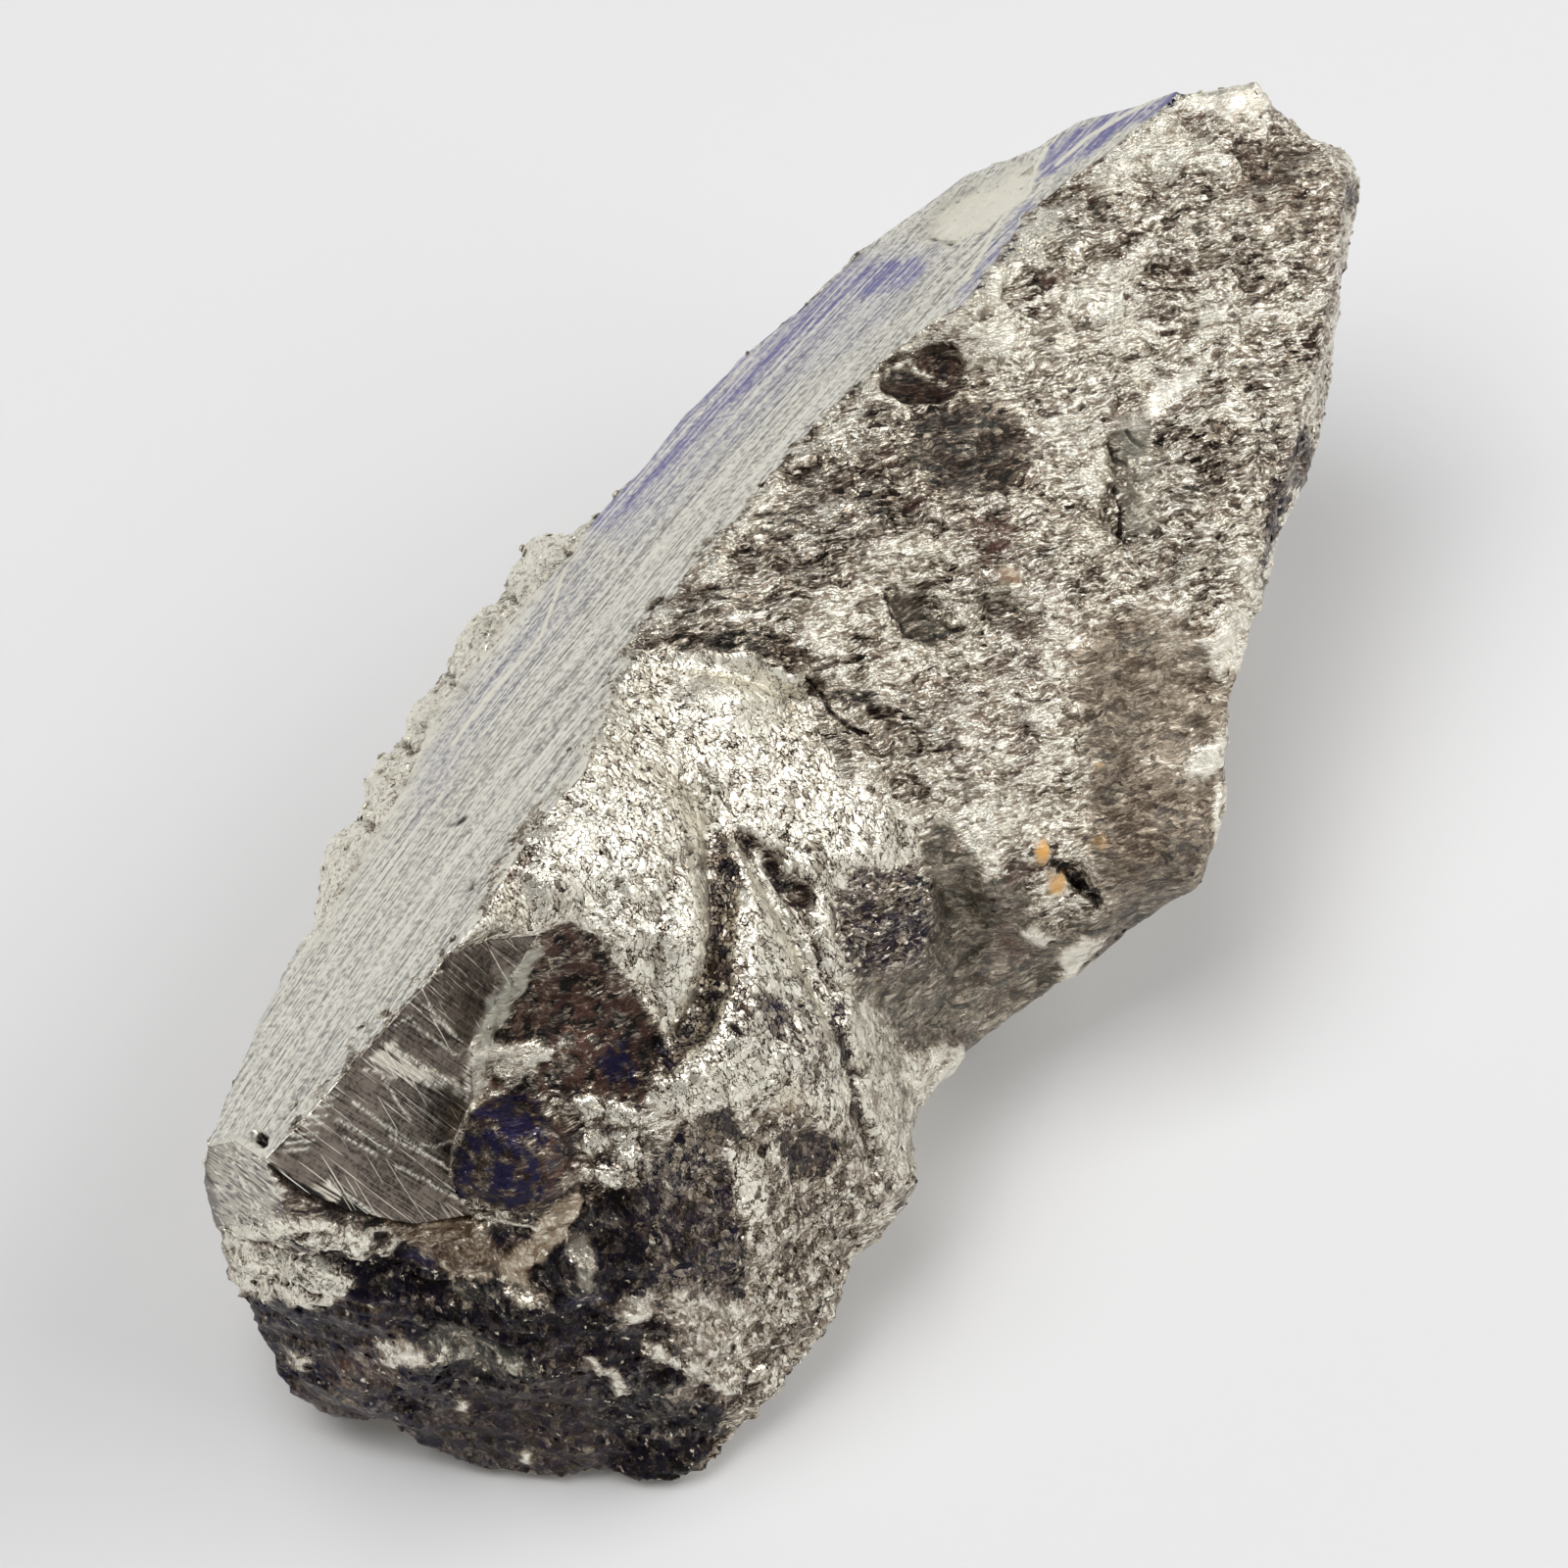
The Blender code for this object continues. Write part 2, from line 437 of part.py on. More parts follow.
def chips(point):
    """Flat chips: inside each cell the surface is a tilted plane with its own height."""
    _, centres = noise.voronoi(point / CHIP_SIZE)
    centre = centres[0]
    tilt = noise.noise_vector(centre * TILT_STRIDE)
    step = noise.noise(centre * STEP_STRIDE)
    return CHIP_TILT * tilt.dot(point / CHIP_SIZE - centre) + CHIP_STEP * step


def ledges(point, seen):
    """Overhanging ledges: a slow rise and then a sudden drop, running roughly across."""
    wander = sum(share * noise.noise(point / size) for size, share in LEDGE_WANDER)
    phase = (seen.y + LEDGE_SLANT * seen.x) / LEDGE_PITCH + wander
    saw = phase - math.floor(phase)
    return saw * saw - LEDGE_MEAN


def smooth_step(low, high, value):
    t = min(max((value - low) / (high - low), 0.0), 1.0)
    return t * t * (3.0 - 2.0 * t)


def distance_to_path(seen, path):
    nearest = math.inf
    for start, end in zip(path, path[1:]):
        a, b = Vector(start), Vector(end)
        along = max(0.0, min(1.0, (seen - a).dot(b - a) / (b - a).length_squared))
        nearest = min(nearest, (seen - a.lerp(b, along)).length)
    return nearest


def marks(seen):
    """How far the lumps, pits and grooves move the facing surface at a sighted place."""
    total = 0.0
    for x, y, across, along, depth in LUMPS:
        reach = math.hypot((seen.x - x) / across, (seen.y - y) / along)
        total += depth * smooth_step(1.0, LUMP_TOP, reach)
    for path, half_width, depth in GROOVES:
        bed = GROOVE_BED * half_width
        total -= depth * smooth_step(half_width, bed, distance_to_path(seen, path))
    return total


def relief(point, seen, facing):
    """The stone's broken surface: swells, chips, grain, and ledges on the near foot."""
    swell = SWELL_DEPTH * noise.noise(point / SWELL_SIZE)
    grain = noise.fractal(point / GRAIN_SIZE, GRAIN_ROUGHNESS, GRAIN_SCALING, GRAIN_OCTAVES)
    depth = swell + CHIP_DEPTH * chips(point) + GRAIN_DEPTH * grain
    if not facing:
        return depth * HIDDEN_GAIN
    on_foot = smooth_step(LEDGES_BEGIN, LEDGES_FULL, seen.y)
    on_folds = smooth_step(FOLDS_REACH, FOLDS_CORE, (seen - FOLDS_MIDDLE).length)
    ledge = LEDGE_DEPTH * ledges(point, seen) * max(on_foot, LEDGE_LEAST)
    return depth * (1.0 - FOLDS_CALM * on_folds) + ledge + marks(seen)


def roughen(mesh):
    """Moves every point that lies wholly on rough faces along its normal."""
    zone = mesh.faces.layers.int["zone"]
    mesh.normal_update()
    moves = []
    for vert in mesh.verts:
        zones = {face[zone] for face in vert.link_faces}
        if zones & {FACING_SMOOTH, REST}:
            continue
        seen = sighted(vert.co)
        share = SHARED_EDGE_GAIN if len(zones) > 1 else 1.0
        moves.append((vert, vert.normal * share * relief(vert.co, seen, FACING_ROUGH in zones)))
    for vert, move in moves:
        vert.co += move
        vert.co.z = max(vert.co.z, KEEP_ABOVE_TABLE)


def place(mesh):
    """Metres, length along +Y, and the origin under the middle of the stone's box."""
    turn = Matrix.Rotation(HEADING, 4, "Z") @ Matrix.Scale(MM, 4)
    mesh.transform(turn)
    low = Vector([min(v.co[i] for v in mesh.verts) for i in range(3)])
    high = Vector([max(v.co[i] for v in mesh.verts) for i in range(3)])
    middle = (low + high) / 2.0
    shift = Vector((-middle.x, -middle.y, -low.z))
    mesh.transform(Matrix.Translation(shift))
    print("stone size (mm):", [round(side / MM, 1) for side in high - low])
    print("sight centre (mm):", [round(c / MM, 2) for c in turn @ SIGHT_CENTRE + shift])


def ore_material():
    material = bpy.data.materials.new("pyrite")
    material.use_nodes = True
    shader = material.node_tree.nodes["Principled BSDF"]
    shader.inputs["Base Color"].default_value = (0.50, 0.48, 0.43, 1.0)
    shader.inputs["Metallic"].default_value = 1.0
    shader.inputs["Roughness"].default_value = 0.36
    return material


def build():
    for obj in list(bpy.data.objects):
        bpy.data.objects.remove(obj)
    noise.seed_set(NOISE_SEED)
    mesh = cage()
    refine(mesh)
    roughen(mesh)
    place(mesh)
    data = bpy.data.meshes.new(NODE_NAME)
    mesh.to_mesh(data)
    mesh.free()
    stone = bpy.data.objects.new(NODE_NAME, data)
    data.materials.append(ore_material())
    bpy.context.scene.collection.objects.link(stone)
    print("triangles:", len(data.polygons), "volume (cm3):", round(volume_of(data) * 1e6, 1))


def volume_of(data):
    corners = [[data.vertices[i].co for i in face.vertices] for face in data.polygons]
    return sum(a.dot(b.cross(c)) for a, b, c in corners) / 6.0


build()
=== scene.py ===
# %% [markdown]
# # A broken lump of metallic ore
# The object is one piece of massive ore, about 86 mm long, that rests on its flat underside. A saw
# and a grinding wheel made its long left face. The rest was broken with a hammer, so it glitters.
# The solid model already has its form: this lesson gives it the fine relief and the metal that make
# it look like stone from close by. It starts with the packed solid, and keeps the box that it
# fills.

# %% Load the solid model
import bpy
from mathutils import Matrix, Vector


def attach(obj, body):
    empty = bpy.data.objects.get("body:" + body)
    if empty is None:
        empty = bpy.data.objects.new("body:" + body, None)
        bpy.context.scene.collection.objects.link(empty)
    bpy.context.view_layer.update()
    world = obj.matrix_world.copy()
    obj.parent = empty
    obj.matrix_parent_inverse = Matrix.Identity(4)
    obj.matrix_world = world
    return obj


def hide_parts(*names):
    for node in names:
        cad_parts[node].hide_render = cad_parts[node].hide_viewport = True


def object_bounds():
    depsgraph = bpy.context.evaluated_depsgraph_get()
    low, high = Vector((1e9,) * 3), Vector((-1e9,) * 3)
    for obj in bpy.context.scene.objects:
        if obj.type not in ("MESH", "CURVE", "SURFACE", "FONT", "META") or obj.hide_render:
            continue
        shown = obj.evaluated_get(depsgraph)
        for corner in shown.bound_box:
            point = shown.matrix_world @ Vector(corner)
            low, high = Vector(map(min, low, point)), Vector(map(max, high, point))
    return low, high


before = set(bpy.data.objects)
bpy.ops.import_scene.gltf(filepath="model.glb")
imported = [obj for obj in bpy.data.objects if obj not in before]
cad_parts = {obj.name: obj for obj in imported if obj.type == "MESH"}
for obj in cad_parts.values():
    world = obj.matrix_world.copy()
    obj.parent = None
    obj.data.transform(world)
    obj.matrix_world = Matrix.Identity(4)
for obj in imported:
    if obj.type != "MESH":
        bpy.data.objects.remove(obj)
CAD_BOX = [list(corner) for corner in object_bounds()]

import math

import bmesh
import bpy
import numpy as np
from mathutils import Matrix, Vector, noise

MM = 0.001
NODE = "pyrite_mass"
print("solid model, in mm:", [round((b - a) / MM, 1) for a, b in zip(*CAD_BOX)])

# %% [markdown]
# ## The camera, and a plane to point at
# The stone is seen from above its near end. The plane through the middle of the stone that faces
# the camera is useful twice: the camera is aimed at its centre, and a place on the stone is named
# by the (x, y) in millimetres at which it is seen on that plane. Such a pair is read off like a
# map, where three coordinates on a tilted lump could not be.

# %% Aim the camera
AZIMUTH, ELEVATION = math.radians(36.0), math.radians(55.0)
SIGHT_CENTRE = np.array((1.2, -5.4, 22.1))
EYE_DISTANCE = 360.0
HALF_WIDTH = 40.0
BACK = np.array((math.sin(AZIMUTH) * math.cos(ELEVATION),
                 -math.cos(AZIMUTH) * math.cos(ELEVATION), math.sin(ELEVATION)))
RIGHT = np.array((math.cos(AZIMUTH), math.sin(AZIMUTH), 0.0))
UP = np.cross(BACK, RIGHT)
EYE = SIGHT_CENTRE + BACK * EYE_DISTANCE


def aim_camera():
    data = bpy.data.cameras.new("camera")
    data.lens = data.sensor_width / 2.0 * EYE_DISTANCE / HALF_WIDTH
    data.clip_start = 10.0 * MM
    camera = bpy.data.objects.new("camera", data)
    bpy.context.scene.collection.objects.link(camera)
    axes = Matrix([list(RIGHT), list(UP), list(BACK)]).transposed()
    camera.matrix_world = Matrix.Translation(EYE * MM) @ axes.to_4x4()
    bpy.context.scene.camera = camera
    print("camera lens:", round(data.lens, 1), "mm")


aim_camera()

# %% Name a place by where it is seen
def seen_at(points):
    """The (x, y) on the sighting plane of each point, all in millimetres."""
    sight = points - EYE
    hit = EYE + sight * (-EYE_DISTANCE / (sight @ BACK))[:, None] - SIGHT_CENTRE
    return np.stack([hit @ RIGHT, hit @ UP], axis=1)


def lay_out(x, y, height):
    """The point at that height above the table which is seen at (x, y)."""
    sight = SIGHT_CENTRE + RIGHT * x + UP * y - EYE
    return EYE + sight * ((height - EYE[2]) / sight[2])


def plane_axes(middle, tilt, heading):
    """Three directions for a flat face: along a heading in the plane, across it, and out of it.

    middle is a place on the face, tilt its rise in height for each millimetre of x and of y.
    """
    def on_face(dx, dy):
        rise = tilt[0] * dx + tilt[1] * dy
        return lay_out(middle[0] + dx, middle[1] + dy, middle[2] + rise)
    turn = math.radians(heading)
    start = on_face(0.0, 0.0)
    along = on_face(math.cos(turn), math.sin(turn)) - start
    aside = on_face(-math.sin(turn), math.cos(turn)) - start
    along /= np.linalg.norm(along)
    out = np.cross(along, aside)
    out /= np.linalg.norm(out)
    return along, np.cross(out, along), out


SAWN_AXES = plane_axes((-3.0, 8.0, 33.0), (1.143, -0.934), 49.4)
FRACTURE_AXES = plane_axes((12.0, 12.0, 27.0), (-0.364, 0.404), 12.0)
FLANK_AXES = plane_axes((0.0, -10.0, 26.0), (-0.9, 0.75), -62.0)
CLEAVAGE_AXES = plane_axes((-20.0, -17.0, 29.0), (-0.81, 1.012), -38.0)
for name, axes in (("sawn", SAWN_AXES), ("fracture", FRACTURE_AXES), ("cleavage", CLEAVAGE_AXES)):
    print(name, "face looks towards", np.round(axes[2], 2))

# %% [markdown]
# ## Where the finishes lie
# A stone has no seams: one finish runs into the next. So each kind of face is a loop on the
# sighting plane, and each stain, pit, crack or bright streak is a small shape there. All are kept
# in tables that can be read and changed one by one. Places in the tables are pairs of whole tenths
# of a millimetre; widths and depths are in millimetres. First come the shapes that those tables
# use.

# %% Measures on the sighting plane
def places(*tenths):
    """(x, y) pairs in millimetres, from pairs in tenths of a millimetre."""
    return [(x / 10.0, y / 10.0) for x, y in zip(tenths[::2], tenths[1::2])]


def smooth_step(low, high, value):
    t = np.clip((value - low) / (high - low), 0.0, 1.0)
    return t * t * (3.0 - 2.0 * t)


def distance_to_path(seen, path):
    nearest = np.full(len(seen), np.inf)
    for start, end in zip(np.array(path[:-1]), np.array(path[1:])):
        step = end - start
        share = np.clip((seen - start) @ step / (step @ step), 0.0, 1.0)
        nearest = np.minimum(nearest, np.linalg.norm(seen - start - share[:, None] * step, axis=1))
    return nearest


def inside(seen, corners):
    x, y = seen[:, 0], seen[:, 1]
    found = np.zeros(len(seen), bool)
    for (x0, y0), (x1, y1) in zip(corners, corners[1:] + corners[:1]):
        if y0 != y1:
            crosses = (y0 > y) != (y1 > y)
            found ^= crosses & (x < x0 + (y - y0) * (x1 - x0) / (y1 - y0))
    return found


def line_cover(seen, path, half_width):
    """1 in the middle third of a line along a path, and fading to 0 at its edge."""
    return smooth_step(half_width, half_width / 3.0, distance_to_path(seen, path))


print("the centre of the plane is seen at", seen_at(SIGHT_CENTRE[None])[0].round(6).tolist())

# %% Shapes for the tables
BLOB_FULL = 0.55  # The share of a blob's radius within which it covers fully


def patch(soft, *tenths):
    """A flat patch with those corners, whose edge fades over soft millimetres."""
    corners = places(*tenths)

    def cover(seen):
        edge = distance_to_path(seen, corners + corners[:1])
        return smooth_step(-soft, soft, np.where(inside(seen, corners), edge, -edge))
    return cover


def blob(x, y, across, along, lean=0.0):
    """An oval spot around (x, y), turned by lean degrees."""
    centre, turn = np.array((x / 10.0, y / 10.0)), math.radians(lean)

    def cover(seen):
        dx, dy = (seen - centre).T
        u = dx * math.cos(turn) + dy * math.sin(turn)
        v = dy * math.cos(turn) - dx * math.sin(turn)
        return smooth_step(1.0, BLOB_FULL, np.hypot(u / across, v / along))
    return cover


def streak(half_width, *tenths):
    """A line along a path."""
    path = places(*tenths)
    return lambda seen: line_cover(seen, path, half_width)


print("a blob covers", blob(0, 0, 1.0, 1.0)(np.array([[0.0, 0.0], [0.8, 0.0]])).round(2).tolist())

# %% The loops of the smooth faces
SAWN_LOOP = places(
    202,354, 192,342, 160,318, 142,306, 125,292, 114,275, 94,247, 68,230, 44,210, 20,188, -2,163,
    -22,138, -41,114, -70,80, -78,65, -88,42, -102,6, -122,-16, -140,-42, -155,-70, -172,-88,
    -185,-105, -215,-138, -245,-172, -265,-192, -280,-182, -294,-185, -278,-145, -266,-118,
    -249,-86, -232,-72, -219,-44, -202,-18, -190,5, -180,28, -165,52, -145,72, -126,98, -106,120,
    -94,138, -72,161, -50,189, -22,216, 16,248, 44,275, 68,292, 92,310, 128,324, 150,338, 180,346)
CLEAVAGE_LOOP = places(
    -185,-105, -215,-138, -245,-172, -265,-192, -248,-208, -223,-218, -188,-226, -159,-221,
    -171,-200, -168,-180, -160,-162, -161,-134, -148,-110, -126,-77, -150,-79, -172,-88)
CORNER_LOOP = places(
    -265,-192, -280,-182, -294,-185, -296,-204, -290,-226, -254,-220)
RIDGE = SAWN_LOOP[:25]  # The side of the sawn face where the broken faces begin
print("corners of the loops:", [len(loop) for loop in (SAWN_LOOP, CLEAVAGE_LOOP, CORNER_LOOP)])

# %% [markdown]
# ## A finer skin over the solid
# The solid has a few thousand flat triangles, enough for its form but not for grain. A copy of it
# is cut finer, in the way that a carver works: only where it matters. Each triangle's longest edge
# is halved until it is short enough for its zone, so the rough faces that glitter get most
# triangles and the flat ones few. Plain arrays do this in about a second, where editing tools would
# take a minute.

# %% Copy the solid as arrays
BROKEN, SAWN, CLEAVED, HIDDEN, REST = range(5)
FLAT_KINDS = (SAWN, CLEAVED, REST)
MERGE_REACH = 1e-6
TABLE_REACH = 1e-3  # A face that is nowhere higher than this, in millimetres, rests on the table


def merged_copy(node):
    mesh = bmesh.new()
    mesh.from_mesh(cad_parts[node].data)
    bmesh.ops.remove_doubles(mesh, verts=mesh.verts, dist=MERGE_REACH)
    bmesh.ops.triangulate(mesh, faces=mesh.faces)
    points = np.array([vert.co for vert in mesh.verts]) / MM
    faces = np.array([[vert.index for vert in face.verts] for face in mesh.faces])
    mesh.free()
    return points, faces


def face_crosses(points, faces):
    """A vector straight out of each triangle, twice as long as its area."""
    a, b, c = points[faces].transpose(1, 0, 2)
    return np.cross(b - a, c - a)


def label_faces(points, faces):
    """Which kind of face each triangle belongs to."""
    middle = points[faces].mean(axis=1)
    facing = np.einsum("ij,ij->i", face_crosses(points, faces), EYE - middle) > 0.0
    seen = seen_at(middle)
    labels = np.where(facing, BROKEN, HIDDEN)
    labels[facing & inside(seen, SAWN_LOOP)] = SAWN
    labels[facing & (inside(seen, CLEAVAGE_LOOP) | inside(seen, CORNER_LOOP))] = CLEAVED
    labels[points[faces][:, :, 2].max(axis=1) < TABLE_REACH] = REST
    return labels


coarse_points, coarse_faces = merged_copy(NODE)
coarse_labels = label_faces(coarse_points, coarse_faces)
print("solid:", len(coarse_faces), "triangles; by kind", np.bincount(coarse_labels))

# %% Halve the long edges
def split_once(points, faces, labels, limit):
    """Cuts the longest edge of each face that has one over its limit; None when there is none."""
    heads = np.roll(faces, -1, axis=1)
    lengths = np.linalg.norm(points[faces] - points[heads], axis=2)
    keys = np.minimum(faces, heads) * len(points) + np.maximum(faces, heads)
    rows = np.arange(len(faces))
    longest = lengths.argmax(axis=1)
    cut = np.unique(keys[rows, longest][lengths[rows, longest] > limit])
    if not len(cut):
        return None
    place = np.minimum(np.searchsorted(cut, keys), len(cut) - 1)
    is_cut = cut[place] == keys
    middles = np.where(is_cut, place + len(points), -1)
    more = (points[cut // len(points)] + points[cut % len(points)]) / 2.0
    count = is_cut.sum(axis=1)
    # Turn each face so that its cut edges come first
    start = np.where(count == 1, is_cut.argmax(axis=1), 0)
    start = np.where(count == 2, (is_cut.argmin(axis=1) + 1) % 3, start)
    order = (start[:, None] + np.arange(3)) % 3
    a, b, c = np.take_along_axis(faces, order, axis=1).T
    ab, bc, ca = np.take_along_axis(middles, order, axis=1).T
    parts = [
        (count == 0, [(a, b, c)]),
        (count == 1, [(a, ab, c), (ab, b, c)]),
        (count == 2, [(ab, b, bc), (a, ab, bc), (a, bc, c)]),
        (count == 3, [(a, ab, ca), (ab, b, bc), (ca, bc, c), (ab, bc, ca)]),
    ]
    new_faces = [np.stack(tri, axis=1)[which] for which, tris in parts for tri in tris]
    new_labels = [labels[which] for which, tris in parts for tri in tris]
    return np.vstack([points, more]), np.vstack(new_faces), np.concatenate(new_labels)


def refine(points, faces, labels, limit_of):
    while True:
        step = split_once(points, faces, labels, limit_of(points, faces, labels))
        if step is None:
            return points, faces, labels
        points, faces, labels = step


halved = refine(np.eye(3), np.array([[0, 1, 2]]), np.zeros(1, int), lambda *skin_now: 0.5)
print("a triangle whose sides are 1.41 becomes", len(halved[1]), "with sides below 0.5")

# %% Turn long slivers on the flat faces into even triangles
FIRST_EDGE = 3.2  # Millimetres; short enough for the diagonals to have a choice


def first_limit(points, faces, labels):
    """Only the flat faces are cut at first."""
    return np.where(np.isin(labels, FLAT_KINDS), FIRST_EDGE, np.inf)


def even_out(points, faces, labels):
    """Swaps the diagonals inside each flat face until no sliver is left."""
    mesh = bmesh.new()
    verts = [mesh.verts.new(point) for point in points]
    kind = mesh.faces.layers.int.new("kind")
    for corners, label in zip(faces.tolist(), labels.tolist()):
        mesh.faces.new([verts[i] for i in corners])[kind] = label
    mesh.verts.index_update()
    flat = [face for face in mesh.faces if face[kind] in FLAT_KINDS]
    inner = [edge for edge in mesh.edges
             if len({face[kind] for face in edge.link_faces}) == 1
             and edge.link_faces[0][kind] in FLAT_KINDS]
    bmesh.ops.beautify_fill(mesh, faces=flat, edges=inner, method="ANGLE")
    faces = np.array([[vert.index for vert in face.verts] for face in mesh.faces])
    labels = np.array([face[kind] for face in mesh.faces])
    mesh.free()
    return faces, labels


even_points, faces, labels = refine(coarse_points, coarse_faces, coarse_labels, first_limit)
even_faces, even_labels = even_out(even_points, faces, labels)
print("evened out:", len(even_faces), "triangles")

# %% [markdown]
# ## Cracks and scratches
# A few lines on the stone are thinner than its grain: the crack under the dark facet, a pale crack
# along the sawn face, and steps where slivers split off. They are listed before the skin is cut,
# because the triangles have to be small enough there to hold them. Each row has the line's half
# width and depth in millimetres, what it does to the finish, and its path.

# %% The thin lines
# DEEP_DARK darkens a crack or step as painted shade; PALE is a pale crack of fresh metal
DEEP_DARK = {"tarnish": 1.1, "cream": 0.0, "calm": 0.5, "glint": 0.0}
PALE = {"tarnish": 0.0, "cream": 1.0}
THIN_LINES = [
    (0.15, 0.3, DEEP_DARK, places(-262,-195, -249,-208, -223,-219, -205,-223, -188,-226, -175,-224,
     -159,-221)),
    (0.12, -0.06, PALE, places(-159,-221, -144,-223, -126,-226)),
    (0.14, -0.02, PALE, places(-112,109, -117,94, -124,75, -135,62, -148,48, -159,34, -169,20)),
    (0.15, 0, PALE, places(134,324, 128,314, 125,302, 115,293, 107,282, 100,269, 92,257)),
    (0.15, 0, PALE, places(192,351, 175,342, 155,330, 139,316)),
    (0.15, 0.16, DEEP_DARK, places(12,54, 19,47, 23,37, 33,29, 42,25)),
    (0.13, 0.22, DEEP_DARK, places(166,174, 169,165, 173,163)),
    (0.12, 0.2, DEEP_DARK, places(169,154, 172,140, 171,127, 175,124)),
    (0.14, 0.22, DEEP_DARK, places(175,180, 179,174, 184,172)),
    (0.12, 0.15, DEEP_DARK, places(52,97, 56,85, 68,75, 92,80)),
    (0.15, 0.22, DEEP_DARK, places(143,-45, 148,-50, 153,-57, 160,-60)),
    (0.16, 0.25, DEEP_DARK, places(-27,-123, -21,-128)),
    (0.3, 0.45, DEEP_DARK, places(-269,-178, -266,-183)),
]
print("thin lines:", len(THIN_LINES))

# %% Cut the skin to its final fineness
# Longest edge, in millimetres, for broken, sawn, cleaved, hidden and resting faces
EDGE_LIMITS = np.array([0.48, 1.20, 0.24, 0.96, 4.0])
LINE_EDGE, LINE_REACH = 0.17, 0.40    # The limit near a thin line, and how near that is
RIDGE_EDGE, RIDGE_REACH = 0.36, 1.3
BOX_MARGIN = 1.0


def edge_limit(points, faces, labels):
    """The limit of each face; it is smaller where a thin crack or scratch passes."""
    limit = EDGE_LIMITS[labels]
    seen = seen_at(points[faces].mean(axis=1))
    front = labels < HIDDEN
    sawn = np.flatnonzero(labels == SAWN)
    limit[sawn[distance_to_path(seen[sawn], RIDGE) < RIDGE_REACH]] = RIDGE_EDGE
    for *_, path in THIN_LINES:
        box = np.array(path)
        near = front & np.all(seen > box.min(axis=0) - BOX_MARGIN, axis=1)
        near &= np.all(seen < box.max(axis=0) + BOX_MARGIN, axis=1)
        rows = np.flatnonzero(near)
        limit[rows[distance_to_path(seen[rows], path) < LINE_REACH]] = LINE_EDGE
    return limit


skin_points, skin_faces, skin_labels = refine(even_points, even_faces, even_labels, edge_limit)
print("skin:", len(skin_faces), "triangles")

# %% Let the broken finish bite into the edge of the sawn face
CHIP_REACH = 1.1
SMALL_CHIP_REACH = 0.33
DEEP_CHIPS_FADE = (22.0, 8.0)  # The y between which the deep bites fade in, from the far end


def chip_the_ridge(points, faces, labels):
    rows = np.flatnonzero(labels == SAWN)
    middle = points[faces[rows]].mean(axis=1)
    seen = seen_at(middle)
    bite = np.array([noise.noise(Vector(p)) + 0.6 * noise.noise(Vector(2.3 * p)) for p in middle])
    deep = np.clip(bite + 0.25, 0.0, 1.0) * smooth_step(*DEEP_CHIPS_FADE, seen[:, 1])
    reach = CHIP_REACH * deep + SMALL_CHIP_REACH * np.clip(bite, 0.0, 1.0)
    labels[rows[distance_to_path(seen, RIDGE) < reach]] = BROKEN


chip_the_ridge(skin_points, skin_faces, skin_labels)
print("skin by kind of face:", np.bincount(skin_labels))

# %% [markdown]
# ## Soften the flats of the solid
# The solid's own triangles would show as little flat panels under the grain. Real broken ore has no
# such panels, so the rough zones are eased: each point moves part of the way to the middle of its
# neighbours, several times. The points of the smooth faces stay, which keeps the sawn edge crisp.

# %% Ease the rough zones
EASE_ROUNDS = 7
EASE_SHARE = 0.5


def unique_edges(faces):
    pairs = np.vstack([faces[:, [0, 1]], faces[:, [1, 2]], faces[:, [2, 0]]])
    return np.unique(np.sort(pairs, axis=1), axis=0)


def neighbour_mean(values, edges):
    """The mean over each point's neighbours."""
    a, b = edges.T
    count = np.bincount(np.concatenate([a, b]), minlength=len(values))
    sums = [np.bincount(a, column[b], len(values)) + np.bincount(b, column[a], len(values))
            for column in values.T]
    return (np.array(sums) / count).T


def point_share(kind):
    """The share of each point's faces that are of that kind."""
    count = len(skin_points)
    total = np.bincount(skin_faces.ravel(), minlength=count)
    flags = np.repeat(skin_labels == kind, 3).astype(float)
    return np.bincount(skin_faces.ravel(), flags, count) / total


skin_edges = unique_edges(skin_faces)
sawn_share, cleaved_share = point_share(SAWN), point_share(CLEAVED)
rest_share, hidden_share = point_share(REST), point_share(HIDDEN)
free = (sawn_share + cleaved_share + rest_share) == 0.0
for _ in range(EASE_ROUNDS):
    pull = EASE_SHARE * free[:, None]
    skin_points = skin_points + pull * (neighbour_mean(skin_points, skin_edges) - skin_points)
print("eased", int(free.sum()), "of", len(skin_points), "points")

# %% [markdown]
# ## Stains, pits and streaks, and painted light and shade
# Each row of the table is one thing that can be seen on the stone: its shape, how far it stands out
# (or, below zero, how deep it is), and what it does to the finish. The finishes are named by cause,
# and two of them also paint light and shade. The tarnish value is a dark film, and it also paints
# shade in gaps and cracks, under steps and on sides turned from the light. Violet is the blue film
# that some ores grow, rust and ochre are iron stains. The cream value is fresh bright metal, and it
# also paints highlights on ledges, lumps and glints. Sage is a pale green-grey mineral, and calm a
# place without grain. Fold is ore crumpled like foil, rugged has grain without a direction, and
# glint
# is where crystals sparkle: it sets where grains stand and how much glint is painted in the metal.
# Rows that come later lie on top.

# %% A table that marks are added to
ORE_CHANNELS = [
    "tarnish", "violet", "rust", "ochre", "cream", "sage", "calm", "fold", "glint", "rugged",
]
CHANNELS = [*ORE_CHANNELS, "scratch"]
MARKS = {}


def mark(name, shape, rise=0.0, **finish):
    """Adds a row to the table."""
    MARKS[name] = (shape, rise, finish)


print("channels:", len(CHANNELS))

